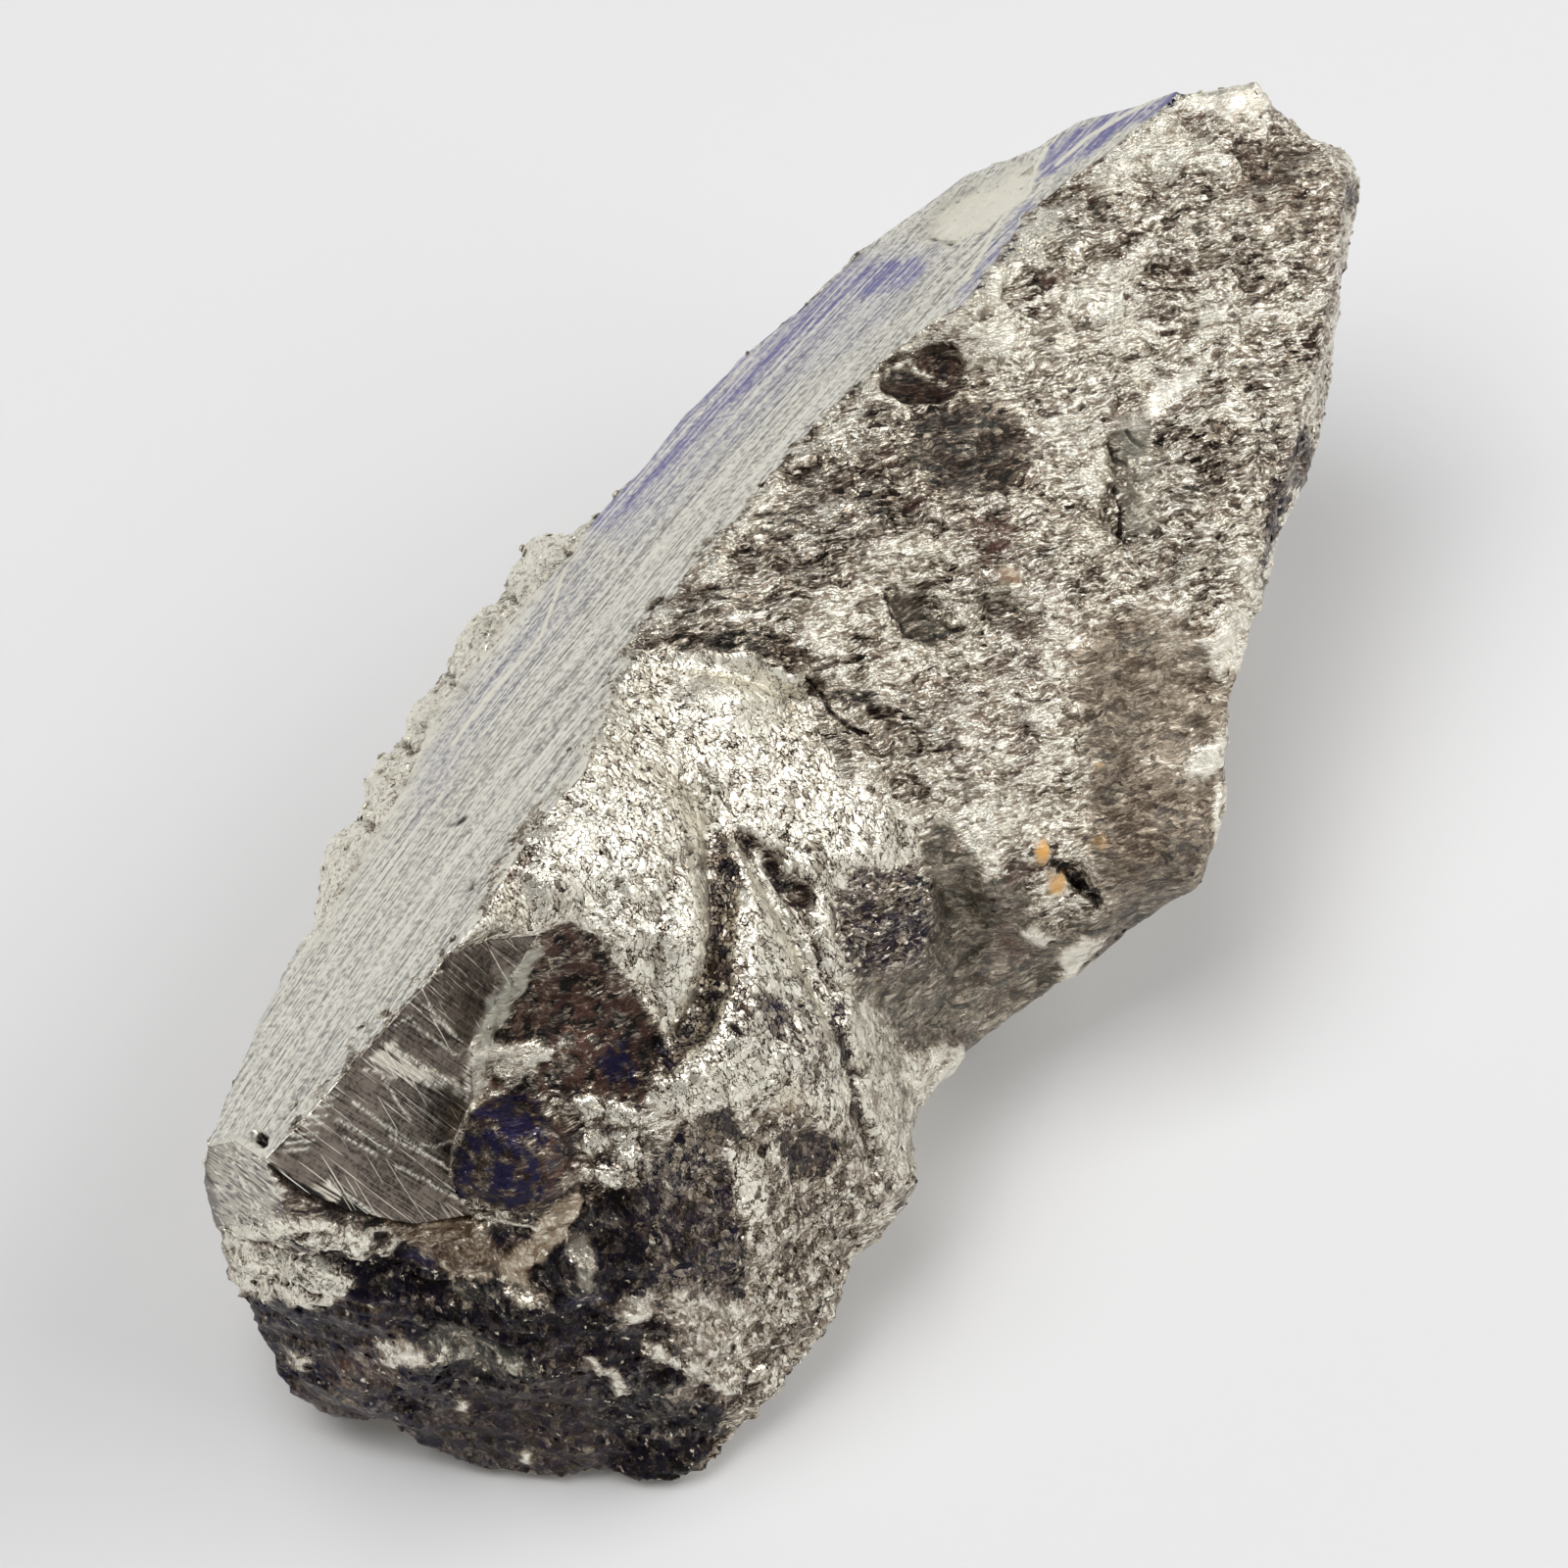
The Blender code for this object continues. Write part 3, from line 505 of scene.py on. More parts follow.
# %% Marks: the broad fields of the broken faces
mark("fracture by the ridge", patch(1.2, -50,80, -70,80, -5,160, 45,208, 80,230, 100,190, 90,140,
     30,120, 0,80), tarnish=0.58)
# These three rows smooth the slope and paint the shade that darkens the fracture to its lower right
mark("soft grey slope", patch(1.5, 148,80, 190,91, 225,75, 231,50, 228,-50, 208,-70, 170,-80,
     158,-45, 162,0, 145,40), tarnish=0.66, calm=0.8, glint=0.1, rust=0)
mark("dim band down the slope", streak(2, 175,75, 170,20, 165,-25), -0.04, tarnish=0.76, rust=0,
     calm=0.8)
mark("dim foot of the slope", patch(1.2, 165,-10, 200,0, 220,-30, 208,-70, 170,-75), tarnish=0.86,
     calm=0.85, rust=0.05)
mark("crown", patch(1.2, 140,300, 195,330, 270,325, 285,295, 270,250, 200,250, 145,255),
     tarnish=0.3, cream=0.12, rugged=0.75)
mark("crown facet", patch(0.2, 206,354, 248,357, 251,344, 228,339, 212,344), calm=0.9, tarnish=0.1,
     cream=0.6)
mark("bright edge of the ridge", streak(0.75, 192,336, 165,312, 141,294, 122,275, 102,249, 77,227,
     55,209, 37,192), 0.08, cream=0.7, tarnish=0.02, glint=0.6, calm=0.15)
mark("lower edge of the ridge", streak(0.45, 37,192, 19,177, -4,154, -23,129, -41,105, -64,83),
     0.05, cream=0.6, tarnish=0.05, glint=0.5)
mark("crown's bright shoulder", patch(0.5, 180,335, 202,341, 225,335, 220,320, 195,312, 175,305,
     160,302), 0.1, cream=0.7, tarnish=0.05, rugged=0.75)
mark("brown crown", patch(0.8, 235,335, 265,325, 285,312, 280,285, 250,280, 231,305), tarnish=0.62,
     rust=0.2, rugged=0.75, calm=0.3)
mark("crown's dark hollows", patch(0.4, 133,300, 159,305, 162,292, 145,284), -0.12, tarnish=0.7,
     rust=0.3, rugged=0.75)
mark("fold field", patch(0.9, -75,68, -50,74, 3,68, 15,35, 30,0, 65,-18, 72,-40, 35,-50, 31,-100,
     68,-130, 65,-195, 35,-230, 0,-200, -30,-160, -55,-160, -62,-132, -80,-95, -108,-70, -135,-75,
     -154,-72, -122,-16, -102,7, -88,42), fold=1, tarnish=0.04, cream=0.5, glint=0.15)
mark("grey end of the folds", patch(0.9, -50,-165, -20,-160, 40,-175, 65,-200, 35,-235, 30,-295,
     -5,-320, -50,-320, -60,-250), tarnish=0.48, fold=0.62, cream=0.15, glint=0.7, rust=0.05)
# Painted shade: the underside of the slab and the valley beside it are darkened
mark("dark underside", patch(0.35, 31,-100, 50,-95, 72,-92, 77,-62, 68,-19, 86,-21, 96,-33, 102,-52,
     121,-42, 126,-68, 141,-75, 180,-62, 212,-52, 160,-100, 120,-126, 92,-140, 67,-137, 50,-130),
     tarnish=0.83, calm=0.6, fold=0, cream=0, glint=0.15, sage=0.15)
mark("glint facet", patch(0.6, 25,-60, 40,-42, 72,-45, 77,-62, 73,-92, 48,-98, 31,-95),
     tarnish=0.76, violet=0.4, glint=1.2, fold=0.3, rust=0)
# The near end is dark tarnish with violet, and also painted shade of the side turned from the light
mark("near end", patch(0.8, -285,-220, -250,-218, -185,-231, -140,-225, -100,-205, -50,-200,
     -20,-240, -30,-300, -30,-365, -120,-365, -235,-335, -280,-265), tarnish=1.2, fold=0.1, cream=0,
     glint=0.6, rugged=0.9, calm=0.3, rust=0, violet=0.18)
mark("violet foot", patch(0.6, -278,-265, -190,-262, -180,-315, -190,-325, -240,-325, -269,-290),
     violet=0.4, tarnish=1.1, calm=0.5, rust=0, glint=0.5)
mark("smooth foot", patch(0.8, -180,-312, -100,-300, -80,-350, -160,-350, -185,-335), violet=0.3,
     tarnish=1.06, glint=0.3, calm=0.75, rust=0)
print("marks so far:", len(MARKS))

# %% Marks: around the dark facet, and the near end
mark("rusty field", patch(0.2, -126,-77, -108,-70, -94,-83, -80,-98, -69,-115, -62,-134, -66,-152,
     -72,-162, -100,-168, -120,-159, -148,-156, -152,-140, -148,-115, -136,-95), -0.1, tarnish=1,
     rust=0.5, fold=0, cream=0)
mark("blue in the rust", blob(-84,-142, 1.2, 1.5, 20), -0.1, violet=0.7, rust=0.1)
mark("red in the rust", patch(0.5, -120,-120, -100,-112, -80,-125, -90,-145, -110,-155, -118,-140),
     rust=0.75)
mark("tarnished dome", patch(0.25, -166,-185, -160,-171, -148,-161, -133,-158, -125,-164, -115,-180,
     -108,-199, -112,-210, -127,-219, -148,-215, -169,-209), 0.25, tarnish=1.14, violet=0.9, fold=0,
     cream=0, glint=0.3, calm=0.3, rust=0.1)
mark("brown side of the dome", patch(0.5, -126,-165, -112,-175, -102,-192, -108,-211, -120,-216,
     -122,-195), tarnish=1.05, violet=0.25, rust=0.6, calm=0.3)
mark("red flecks", blob(-111,-201, 0.9, 0.35, 20), 0.15, rust=1, violet=0, tarnish=0.75)
mark("more red flecks", blob(-120,-180, 0.8, 0.3, -20), 0.1, rust=0.9, violet=0.1, tarnish=0.8)
mark("bright step by the blade", patch(0.12, -158,-134, -130,-131, -119,-134, -128,-146, -140,-149,
     -156,-146), 0.18, cream=0.8, tarnish=0.1, rust=0)
mark("white line over the rust", streak(0.16, -140,-152, -128,-148, -122,-139, -113,-131), 0.12,
     cream=0.9, tarnish=0, rust=0)
mark("ground of the clusters", patch(0.3, -107,-161, -88,-158, -75,-162, -70,-192, -78,-208,
     -94,-202, -103,-182), tarnish=0.7, violet=0.2, rust=0, fold=0.6)
for name, rise, corners in (
        ("first cluster", 0.25, (-108,-161, -97,-157, -91,-166, -100,-174)),
        ("second cluster", 0.2, (-90,-159, -79,-161, -75,-173, -87,-175)),
        ("third cluster", 0.15, (-102,-176, -91,-179, -93,-191, -101,-186)),
        ("fourth cluster", 0.25, (-88,-178, -76,-179, -73,-191, -83,-194)),
        ("fifth cluster", 0.2, (-94,-196, -83,-195, -80,-206, -91,-204))):
    mark(name, patch(0.1, *corners), rise, cream=1, tarnish=0, glint=1, fold=1)
mark("small cluster", blob(-68,-218, 0.9, 0.7), 0.15, cream=0.9, tarnish=0.1)
mark("clusters above the blue", patch(0.4, -70,-155, -50,-143, -28,-148, -25,-160, -45,-168,
     -64,-170), 0.15, cream=0.95, tarnish=0.05, fold=1, glint=1)
mark("right-hand clusters", patch(0.3, -30,-190, -15,-185, -8,-210, -16,-228, -29,-220), 0.15,
     cream=0.8, tarnish=0.1, fold=1, glint=1)
mark("dark beyond the clusters", patch(0.5, -72,-200, -55,-175, -30,-190, -20,-230, -35,-265,
     -65,-255, -75,-225), -0.05, tarnish=0.86, fold=0.6, violet=0.35, cream=0, glint=0.3, rust=0)
mark("brown striated facet", patch(0.12, -205,-221, -185,-228, -169,-222, -157,-221, -138,-245,
     -155,-253, -169,-251, -181,-241, -199,-229), tarnish=0.64, calm=0.5, rust=0.05, ochre=0.05,
     fold=0)
mark("satin brown blade", patch(0.1, -146,-248, -135,-234, -120,-218, -106,-207, -101,-211,
     -105,-220, -117,-235, -131,-254, -142,-254), 0.25, tarnish=0.52, calm=0.9, rust=0.05,
     ochre=0.08, violet=0, fold=0)
mark("green-grey blade at the foot", patch(0.12, -112,-234, -100,-228, -95,-249, -97,-259,
     -104,-256), 0.1, tarnish=0.55, calm=0.8, sage=0.5)
mark("cluster under the blade", blob(-131,-260, 1.5, 0.8), 0.25, tarnish=0.42, rugged=1)
mark("blue under the blade", blob(-101,-262, 1.2, 0.5), violet=0.8, tarnish=0.95)
mark("blue by the dark gap", blob(-185,-244, 1, 0.8), violet=0.8, tarnish=0.95)
mark("warm cluster", blob(-76,-266, 1.5, 1.1, 20), 0.2, tarnish=0.42, rust=0.25, rugged=1,
     glint=1.5)
# Painted highlight: the tops of the two ledges are made as bright as fresh metal
mark("bright ledge above", patch(0.25, -279,-222, -260,-218, -235,-222, -211,-231, -213,-238,
     -235,-236, -260,-232, -277,-231), 0.3, cream=1, tarnish=0, glint=1.3, fold=0.9, rugged=0.8,
     rust=0)
mark("white ring", streak(0.25, -210,-228, -202,-227, -196,-232, -201,-238, -210,-236), 0.12,
     cream=0.8, tarnish=0)
# Painted shade in the gap under the upper ledge
mark("dark gap below it", patch(0.15, -273,-234, -245,-238, -210,-241, -185,-250, -190,-256,
     -225,-245, -269,-240), -0.35, tarnish=1, cream=0)
mark("bright ledge below", patch(0.25, -283,-238, -255,-238, -233,-244, -219,-252, -224,-263,
     -245,-265, -277,-259), 0.3, cream=1, tarnish=0, glint=1.3, fold=0.9, rugged=0.8, rust=0)
# Painted shade in the gaps across the ledges
mark("gaps in the ledges", streak(0.18, -269,-225, -252,-231, -234,-229, -220,-234), -0.2,
     tarnish=0.9, cream=0.1)
mark("gaps in the lower ledge", streak(0.18, -274,-250, -258,-251, -245,-257, -229,-256), -0.2,
     tarnish=0.9, cream=0.1)
mark("short gap in the lower ledge", streak(0.16, -250,-242, -241,-248, -239,-252), -0.15,
     tarnish=0.9, cream=0.1)
mark("grey lens", patch(0.3, -185,-281, -165,-278, -148,-288, -130,-297, -140,-302, -162,-299,
     -178,-292), -0.2, tarnish=0.56, sage=0.3, calm=0.3)
mark("bright end of the lens", blob(-140,-299, 0.5, 0.3), 0.1, cream=1, tarnish=0)
mark("shadow over the lens", streak(0.4, -180,-276, -156,-279, -144,-289, -128,-293), -0.4,
     tarnish=1.1)
mark("pale field beside the lens", patch(0.7, -63,-260, -40,-255, -15,-265, -18,-300, -40,-310,
     -55,-290), 0.1, tarnish=0.36, cream=0.1, rugged=0.8)
mark("bright slants", streak(0.35, -100,-293, -78,-309), 0.15, tarnish=0.2, cream=0.5)
mark("more bright slants", streak(0.45, -69,-287, -50,-298, -26,-308), 0.15, tarnish=0.1, cream=0.6)
mark("purple stain", patch(0.6, -235,-292, -199,-290, -200,-309, -232,-310), tarnish=0.86, rust=0.5,
     violet=0.25)
mark("left glints", blob(-248,-294, 0.8, 0.7), 0.15, tarnish=0.4, glint=2)
mark("pale foot rim", streak(0.8, -257,-307, -235,-316, -205,-323), tarnish=0.95, calm=0.8,
     violet=0.45, rust=0, glint=0.1)
mark("slate foot rim", streak(0.9, -182,-331, -140,-344, -97,-348), tarnish=1, calm=0.8, violet=0.4,
     rust=0, glint=0.1)
mark("single glints", blob(-165,-318, 0.5, 0.2), 0.1, tarnish=0, cream=0.9)
mark("far single glint", blob(-130,-344, 0.3, 0.2), 0.1, tarnish=0, cream=1)
mark("glints under the ledge", patch(0.3, -210,-286, -198,-283, -184,-287, -186,-297, -200,-298),
     0.15, tarnish=0.15, cream=0.5, glint=2, rugged=1)
mark("pale rim at the left foot", patch(0.2, -288,-216, -275,-220, -269,-250, -278,-255), 0.05,
     cream=0.7, tarnish=0.1)
print("marks so far:", len(MARKS))

# %% Marks: the folds
# Painted shade: the dark band is the shade under the step above the folds
mark("shoulder band", patch(0.25, -74,76, -50,80, -20,81, 6,75, 13,62, 3,55, -15,66, -50,68,
     -68,66), -0.12, tarnish=0.85, cream=0, fold=0.2)
mark("shoulder bulge", patch(0.6, -55,64, -20,66, 0,55, 3,42, -15,30, -42,32, -55,48), 0.15,
     cream=0.95, tarnish=0, calm=0.25)
mark("yellow-white field", patch(1, -115,-15, -80,5, -70,-25, -75,-65, -100,-62, -120,-40), cream=1,
     tarnish=0)
mark("pale spot", blob(-104,-25, 0.9, 0.8), cream=1, calm=0.5)
mark("left channel", patch(0.2, -36,-25, -29,-25, -22,-50, -26,-80, -29,-105, -39,-130, -60,-150,
     -66,-134, -50,-120, -42,-90, -38,-50), -0.25, tarnish=0.78, violet=0.16, cream=0, glint=0.9,
     rugged=0.5)
mark("bright lobe", patch(0.4, -66,-50, -50,-44, -39,-52, -38,-75, -46,-115, -60,-121, -65,-100),
     0.3, cream=1, tarnish=-0.05)
mark("dark crease by the lobe", streak(0.35, -55,-44, -62,-65, -66,-90, -62,-115), -0.15,
     tarnish=0.66, violet=0.12)
mark("brown wedge", patch(0.2, -24,-21, -12,-28, 0,-40, 15,-52, 17,-68, 9,-65, -5,-52, -16,-36),
     -0.3, tarnish=0.74, rust=0.12, cream=0, fold=0.3)
mark("right channel", streak(0.42, -24,-25, -5,-48, 13,-72, 21,-100, 31,-132, 40,-171, 48,-195),
     -0.3, tarnish=0.74, violet=0.16, cream=0)
mark("bright rib", streak(0.35, -15,-35, 0,-65, 15,-92, 25,-120), 0.25, cream=1, tarnish=-0.05)
mark("blue streaks", patch(0.6, -28,-80, -12,-100, 15,-115, 30,-150, 20,-160, -5,-140, -28,-125,
     -32,-100), violet=0.22, tarnish=0.34)
mark("blue spot", blob(-2,-118, 0.8, 1, 30), -0.1, violet=0.6, tarnish=0.75)
mark("small blue spot", blob(29,-115, 0.5, 0.7), -0.1, violet=0.5, tarnish=0.7)
mark("flank", patch(0.35, 33,-100, 50,-115, 68,-145, 68,-195, 52,-208, 46,-180, 38,-145),
     tarnish=0.22, sage=0.25, fold=0.6, cream=0.1, calm=0.3)
mark("bright flat patch", blob(-26,-161, 1.5, 0.8, 10), 0.1, cream=1, tarnish=-0.05, fold=1)
mark("yellow-green spot", blob(3,-160, 0.8, 0.7), 0.1, cream=0.9, sage=0.4, ochre=0.12)
mark("teal facet", patch(0.15, -42,-169, -26,-165, -22,-180, -35,-191, -44,-182), -0.1,
     tarnish=0.92, violet=0.2, calm=0.5, cream=0)
mark("second teal facet", patch(0.15, -2,-180, 15,-174, 28,-185, 20,-200, 2,-198), -0.1,
     tarnish=0.92, violet=0.22, calm=0.5, cream=0)
mark("notch lump", patch(0.2, 67,-137, 80,-133, 93,-135, 80,-150, 68,-164), 0.1, cream=0.8,
     tarnish=0.05)
print("marks so far:", len(MARKS))

# %% Marks: the fracture face
mark("dark pocket", patch(0.15, 47,202, 52,214, 65,222, 88,224, 92,214, 92,202, 78,196, 58,196),
     -0.25, tarnish=0.95, rust=0.35, calm=0.45, glint=0.2)
mark("bright line in the pocket", streak(0.16, 52,209, 62,214, 75,209, 84,206), 0.12, cream=0.9,
     tarnish=0, rust=0)
mark("bright rim of the pocket", streak(0.2, 50,196, 65,193, 88,195), 0.1, cream=0.7, tarnish=0)
mark("brown striated patch", patch(0.5, 65,185, 92,198, 120,190, 125,165, 115,148, 80,150, 62,165),
     -0.05, tarnish=1.04, rust=0.12, calm=0.4, glint=0.1, sage=0.04)
mark("reddish zone", patch(0.6, 92,135, 115,140, 122,120, 108,105, 92,112), rust=0.55, tarnish=0.6)
mark("pink inclusion", blob(115,106, 0.75, 0.65), 0.12, rust=0.7, ochre=0.1, tarnish=0.5, calm=1,
     cream=0, glint=0)
mark("red-brown by the crown", blob(138,256, 1.2, 0.7, 20), -0.05, rust=0.5, tarnish=0.7)
mark("red-brown low in the crown", blob(208,195, 0.7, 0.5), rust=0.5, tarnish=0.5)
mark("bright streak", patch(0.15, 171,180, 184,196, 202,210, 213,214, 208,204, 195,193, 182,178),
     0.08, cream=1, tarnish=-0.15, calm=0.75, glint=0)
mark("grey smooth patch", patch(0.3, 170,188, 185,191, 191,165, 189,128, 175,130, 171,160), -0.12,
     calm=0.7, sage=0.6, tarnish=0.45)
mark("diamond pit", patch(0.15, 52,95, 68,97, 74,85, 92,80, 75,72, 61,78), -0.22, tarnish=0.55,
     sage=0.2, calm=0.4)
mark("second pit", patch(0.2, 101,95, 115,97, 130,80, 125,74, 108,80), -0.2, tarnish=0.62, calm=0.3)
mark("dark scallops", streak(0.7, 15,50, 35,45, 55,32), -0.15, tarnish=0.75, calm=0.3)
mark("ochre grain", blob(132,-34, 0.38, 0.8, -12), 0.18, ochre=1, calm=1, tarnish=0, glint=0)
mark("pink-orange grain", blob(139,-50, 0.75, 0.6, -40), 0.16, ochre=0.8, rust=0.3, calm=0.8,
     tarnish=0.2, glint=0)
mark("small ochre specks", blob(159,9, 0.3, 0.22), 0.06, ochre=0.3)
mark("another ochre speck", blob(161,-29, 0.4, 0.5), 0.06, ochre=0.2)
mark("gap beside the grains", streak(0.4, 140,-41, 150,-49, 160,-61), -0.3, tarnish=1)
mark("lumps at the right edge", patch(0.3, 213,75, 225,80, 236,72, 234,55, 220,56), 0.15, cream=0.8,
     tarnish=0.15, glint=1.2)
mark("white striated edge", patch(0.2, 203,5, 212,20, 225,29, 225,12, 216,2), 0.15, cream=0.95,
     tarnish=0, calm=0.3)
mark("bright rim below", streak(0.3, 224,0, 222,-20, 220,-40), 0.1, cream=0.8, tarnish=0.1)
mark("right rim", streak(0.9, 292,305, 286,255, 273,190, 265,165), tarnish=0.3, cream=0.15,
     violet=0.05, calm=0.3)
mark("dark brow", patch(0.2, 267,180, 273,165, 265,120, 248,90, 241,100, 248,150, 259,175),
     tarnish=0.82, violet=0.3, calm=0.2)
mark("bright brow spots", streak(0.25, 261,150, 255,130, 246,105), 0.1, tarnish=0, cream=0.9,
     violet=0)
mark("dark corner of the crown", blob(290,298, 0.5, 1.2), tarnish=0.85, violet=0.3)
mark("lump below the slab", patch(0.15, 121,-75, 130,-72, 138,-76, 133,-82, 123,-82), 0.25,
     cream=0.95, tarnish=0, calm=0.4)
mark("lumps at the slab's foot", patch(0.2, 141,-86, 152,-78, 164,-80, 150,-95, 141,-101), 0.2,
     cream=0.9, tarnish=0.05)
print("marks so far:", len(MARKS))

# %% Marks: the sawn face and the lumps beyond it
mark("violet far edge", patch(0.9, -100,130, -50,190, 0,235, 50,275, 80,275, 50,235, 0,200, -50,150,
     -80,120), violet=0.5)
mark("violet at the very edge", streak(1.3, -98,135, -75,155, -50,185, -25,208, 5,235, 40,262),
     violet=1.1)
mark("violet near edge", patch(0.8, -185,35, -140,90, -100,128, -95,100, -130,60, -165,10,
     -190,-25), violet=0.3)
mark("blue patch", patch(0.2, 33,255, 52,268, 73,266, 65,255, 45,249), violet=1.6)
mark("long blue patch", patch(0.25, 129,308, 136,325, 160,341, 202,353, 204,350, 175,335, 150,318),
     violet=1.6)
mark("blue band by the ridge", patch(0.3, 80,235, 105,275, 125,298, 131,295, 105,260, 92,245),
     violet=0.9)
mark("chipped scallop", patch(0.2, 70,280, 81,298, 102,308, 125,320, 128,318, 120,298, 104,286,
     88,275), -0.3, cream=1, sage=0.2, tarnish=0)
mark("scallop shade", streak(0.3, 72,282, 84,278, 100,282), -0.1, tarnish=0.8)
mark("sawn pits", blob(-161,-52, 0.42, 0.3, 30), -0.3, tarnish=1)
mark("second sawn pit", blob(-164,-17, 0.3, 0.2, 50), -0.2, tarnish=1)
mark("chipped ridge", streak(0.7, -78,64, -90,35, -102,7, -120,-18, -139,-42, -154,-70), -0.08,
     cream=0.7, fold=1)
# Painted highlight: the lumps beyond the sawn face are made bright, though they face away from the
# light
mark("left lumps", patch(0.2, -98,130, -122,140, -150,110, -185,70, -210,40, -222,15, -242,-20,
     -252,-55, -252,-83, -241,-81, -230,-70, -217,-44, -200,-18, -188,5, -178,28, -163,52, -143,72,
     -124,98), 0.1, cream=0.9, tarnish=0, glint=0.4, fold=0.9, calm=0.2)
for name, rise, oval in (
        ("far lump", 0.35, (-121,119, 1.4, 0.9, 42)),
        ("second lump", 0.35, (-156,78, 1.5, 0.8, 46)),
        ("third lump", 0.3, (-183,35, 1.2, 0.7, 52)),
        ("fourth lump", 0.35, (-205,4, 1.3, 0.8, 56)),
        ("fifth lump", 0.3, (-230,-36, 1.4, 0.8, 62))):
    mark(name, blob(*oval), rise, cream=1, tarnish=-0.1)
# Painted shade in the gaps between the lumps
for name, path in (
        ("gap after the far lump", (-147,108, -140,97, -135,92)),
        ("gap after the second lump", (-176,62, -170,54, -163,50)),
        ("gap after the third lump", (-199,28, -194,21, -188,16)),
        ("gap after the fourth lump", (-224,-12, -217,-18, -210,-21))):
    mark(name, streak(0.22, *path), -0.3, tarnish=0.7, cream=0.2)
mark("corner facet", patch(0.2, -295,-184, -269,-180, -255,-200, -260,-225, -289,-220), cream=0.7,
     tarnish=0.1)
mark("notch at the corner", blob(-268,-180, 0.45, 0.35, 40), -0.4, tarnish=1)
print("marks so far:", len(MARKS))

# %% Marks: the dark facet
mark("blade", patch(0.12, -126,-78, -122,-84, -130,-100, -145,-125, -151,-134, -160,-134,
     -147,-106), 0.22, sage=0.9, tarnish=0.32, calm=1)
mark("bright tail of the blade", patch(0.12, -161,-133, -153,-135, -154,-155, -158,-169, -162,-165),
     0.2, cream=1, tarnish=0.05, calm=0.6)
mark("star at the blade's end", blob(-161,-136, 0.5, 0.4), 0.15, cream=1, tarnish=0)
mark("splinter field", patch(0.15, -214,-140, -200,-131, -190,-142, -174,-150, -161,-155, -165,-160,
     -185,-154, -208,-146), 0.1, cream=0.9, tarnish=0.2)
mark("comb marks", patch(0.2, -262,-182, -245,-164, -228,-150, -224,-156, -239,-172, -254,-190),
     0.05, cream=0.15, tarnish=0.55)
mark("bright flake", patch(0.1, -241,-203, -232,-202, -224,-211, -228,-213, -237,-208), 0.12,
     cream=1, tarnish=0)
mark("brown under the facet", patch(0.2, -265,-193, -250,-200, -225,-211, -202,-220, -205,-226,
     -230,-223, -252,-214), -0.05, tarnish=1, rust=0.3)
print("marks:", len(MARKS))

# %% Hairlines on the dark facet
HAIR_WIDTH = 0.11
HAIRS = [
    places(-184,-113, -172,-123, -164,-133), places(-181,-112, -175,-122, -165,-132),
    places(-189,-122, -178,-131, -166,-139), places(-205,-132, -189,-140, -169,-153, -161,-156),
    places(-203,-134, -185,-145, -175,-149), places(-205,-149, -196,-164, -190,-171),
    places(-220,-162, -195,-180, -171,-196), places(-228,-171, -214,-179, -200,-188),
    places(-224,-180, -208,-189), places(-185,-184, -178,-185, -166,-181),
    places(-224,-208, -209,-220, -196,-226), places(-180,-204, -169,-210, -158,-216),
    places(-201,-180, -185,-188, -174,-193), places(-198,-195, -180,-203),
    places(-190,-119, -198,-123), places(-199,-115, -207,-119), places(-186,-105, -194,-110),
    places(-180,-100, -188,-103), places(-174,-96, -182,-98), places(-214,-146, -205,-147),
    places(-228,-159, -237,-161), places(-230,-164, -242,-165), places(-233,-169, -246,-170),
    places(-235,-173, -249,-174), places(-238,-178, -252,-179), places(-240,-182, -254,-183),
    places(-242,-186, -255,-187),
]
print("hairlines:", len(HAIRS))

# %% Paint the marks on the points
JITTER = 0.42       # How far, in millimetres, noise moves the edges of the marks
JITTER_SIZE = 1.1
JITTER_SALTS = (3.1, 17.7)
HAIR_REACH = 8.0    # No hairline is longer than this
FRONT_FADE = (-0.45, -0.1)  # How squarely a point faces the camera where the marks fade in
# The finish where there are no marks; each noise has a size in millimetres and a salt
TARNISH_MEAN, TARNISH_SWING, TARNISH_NOISE = 0.22, 0.30, (7.0, 41.0)
RUST_MOST, RUST_RANGE, RUST_NOISE = 0.36, (0.1, 0.5), (3.0, 63.0)
GLINT_EVERYWHERE = 0.35


def point_noise(points, size, salt):
    """Smooth noise, about -1 to 1, at each point; another salt gives an unrelated noise."""
    return np.array([noise.noise(Vector(p)) for p in points / size + salt])


def lay_on(fields, cover, finish):
    """Moves each channel that a finish names towards its value, as far as the cover says."""
    for channel, value in finish.items():
        fields[channel] += cover * (value - fields[channel])


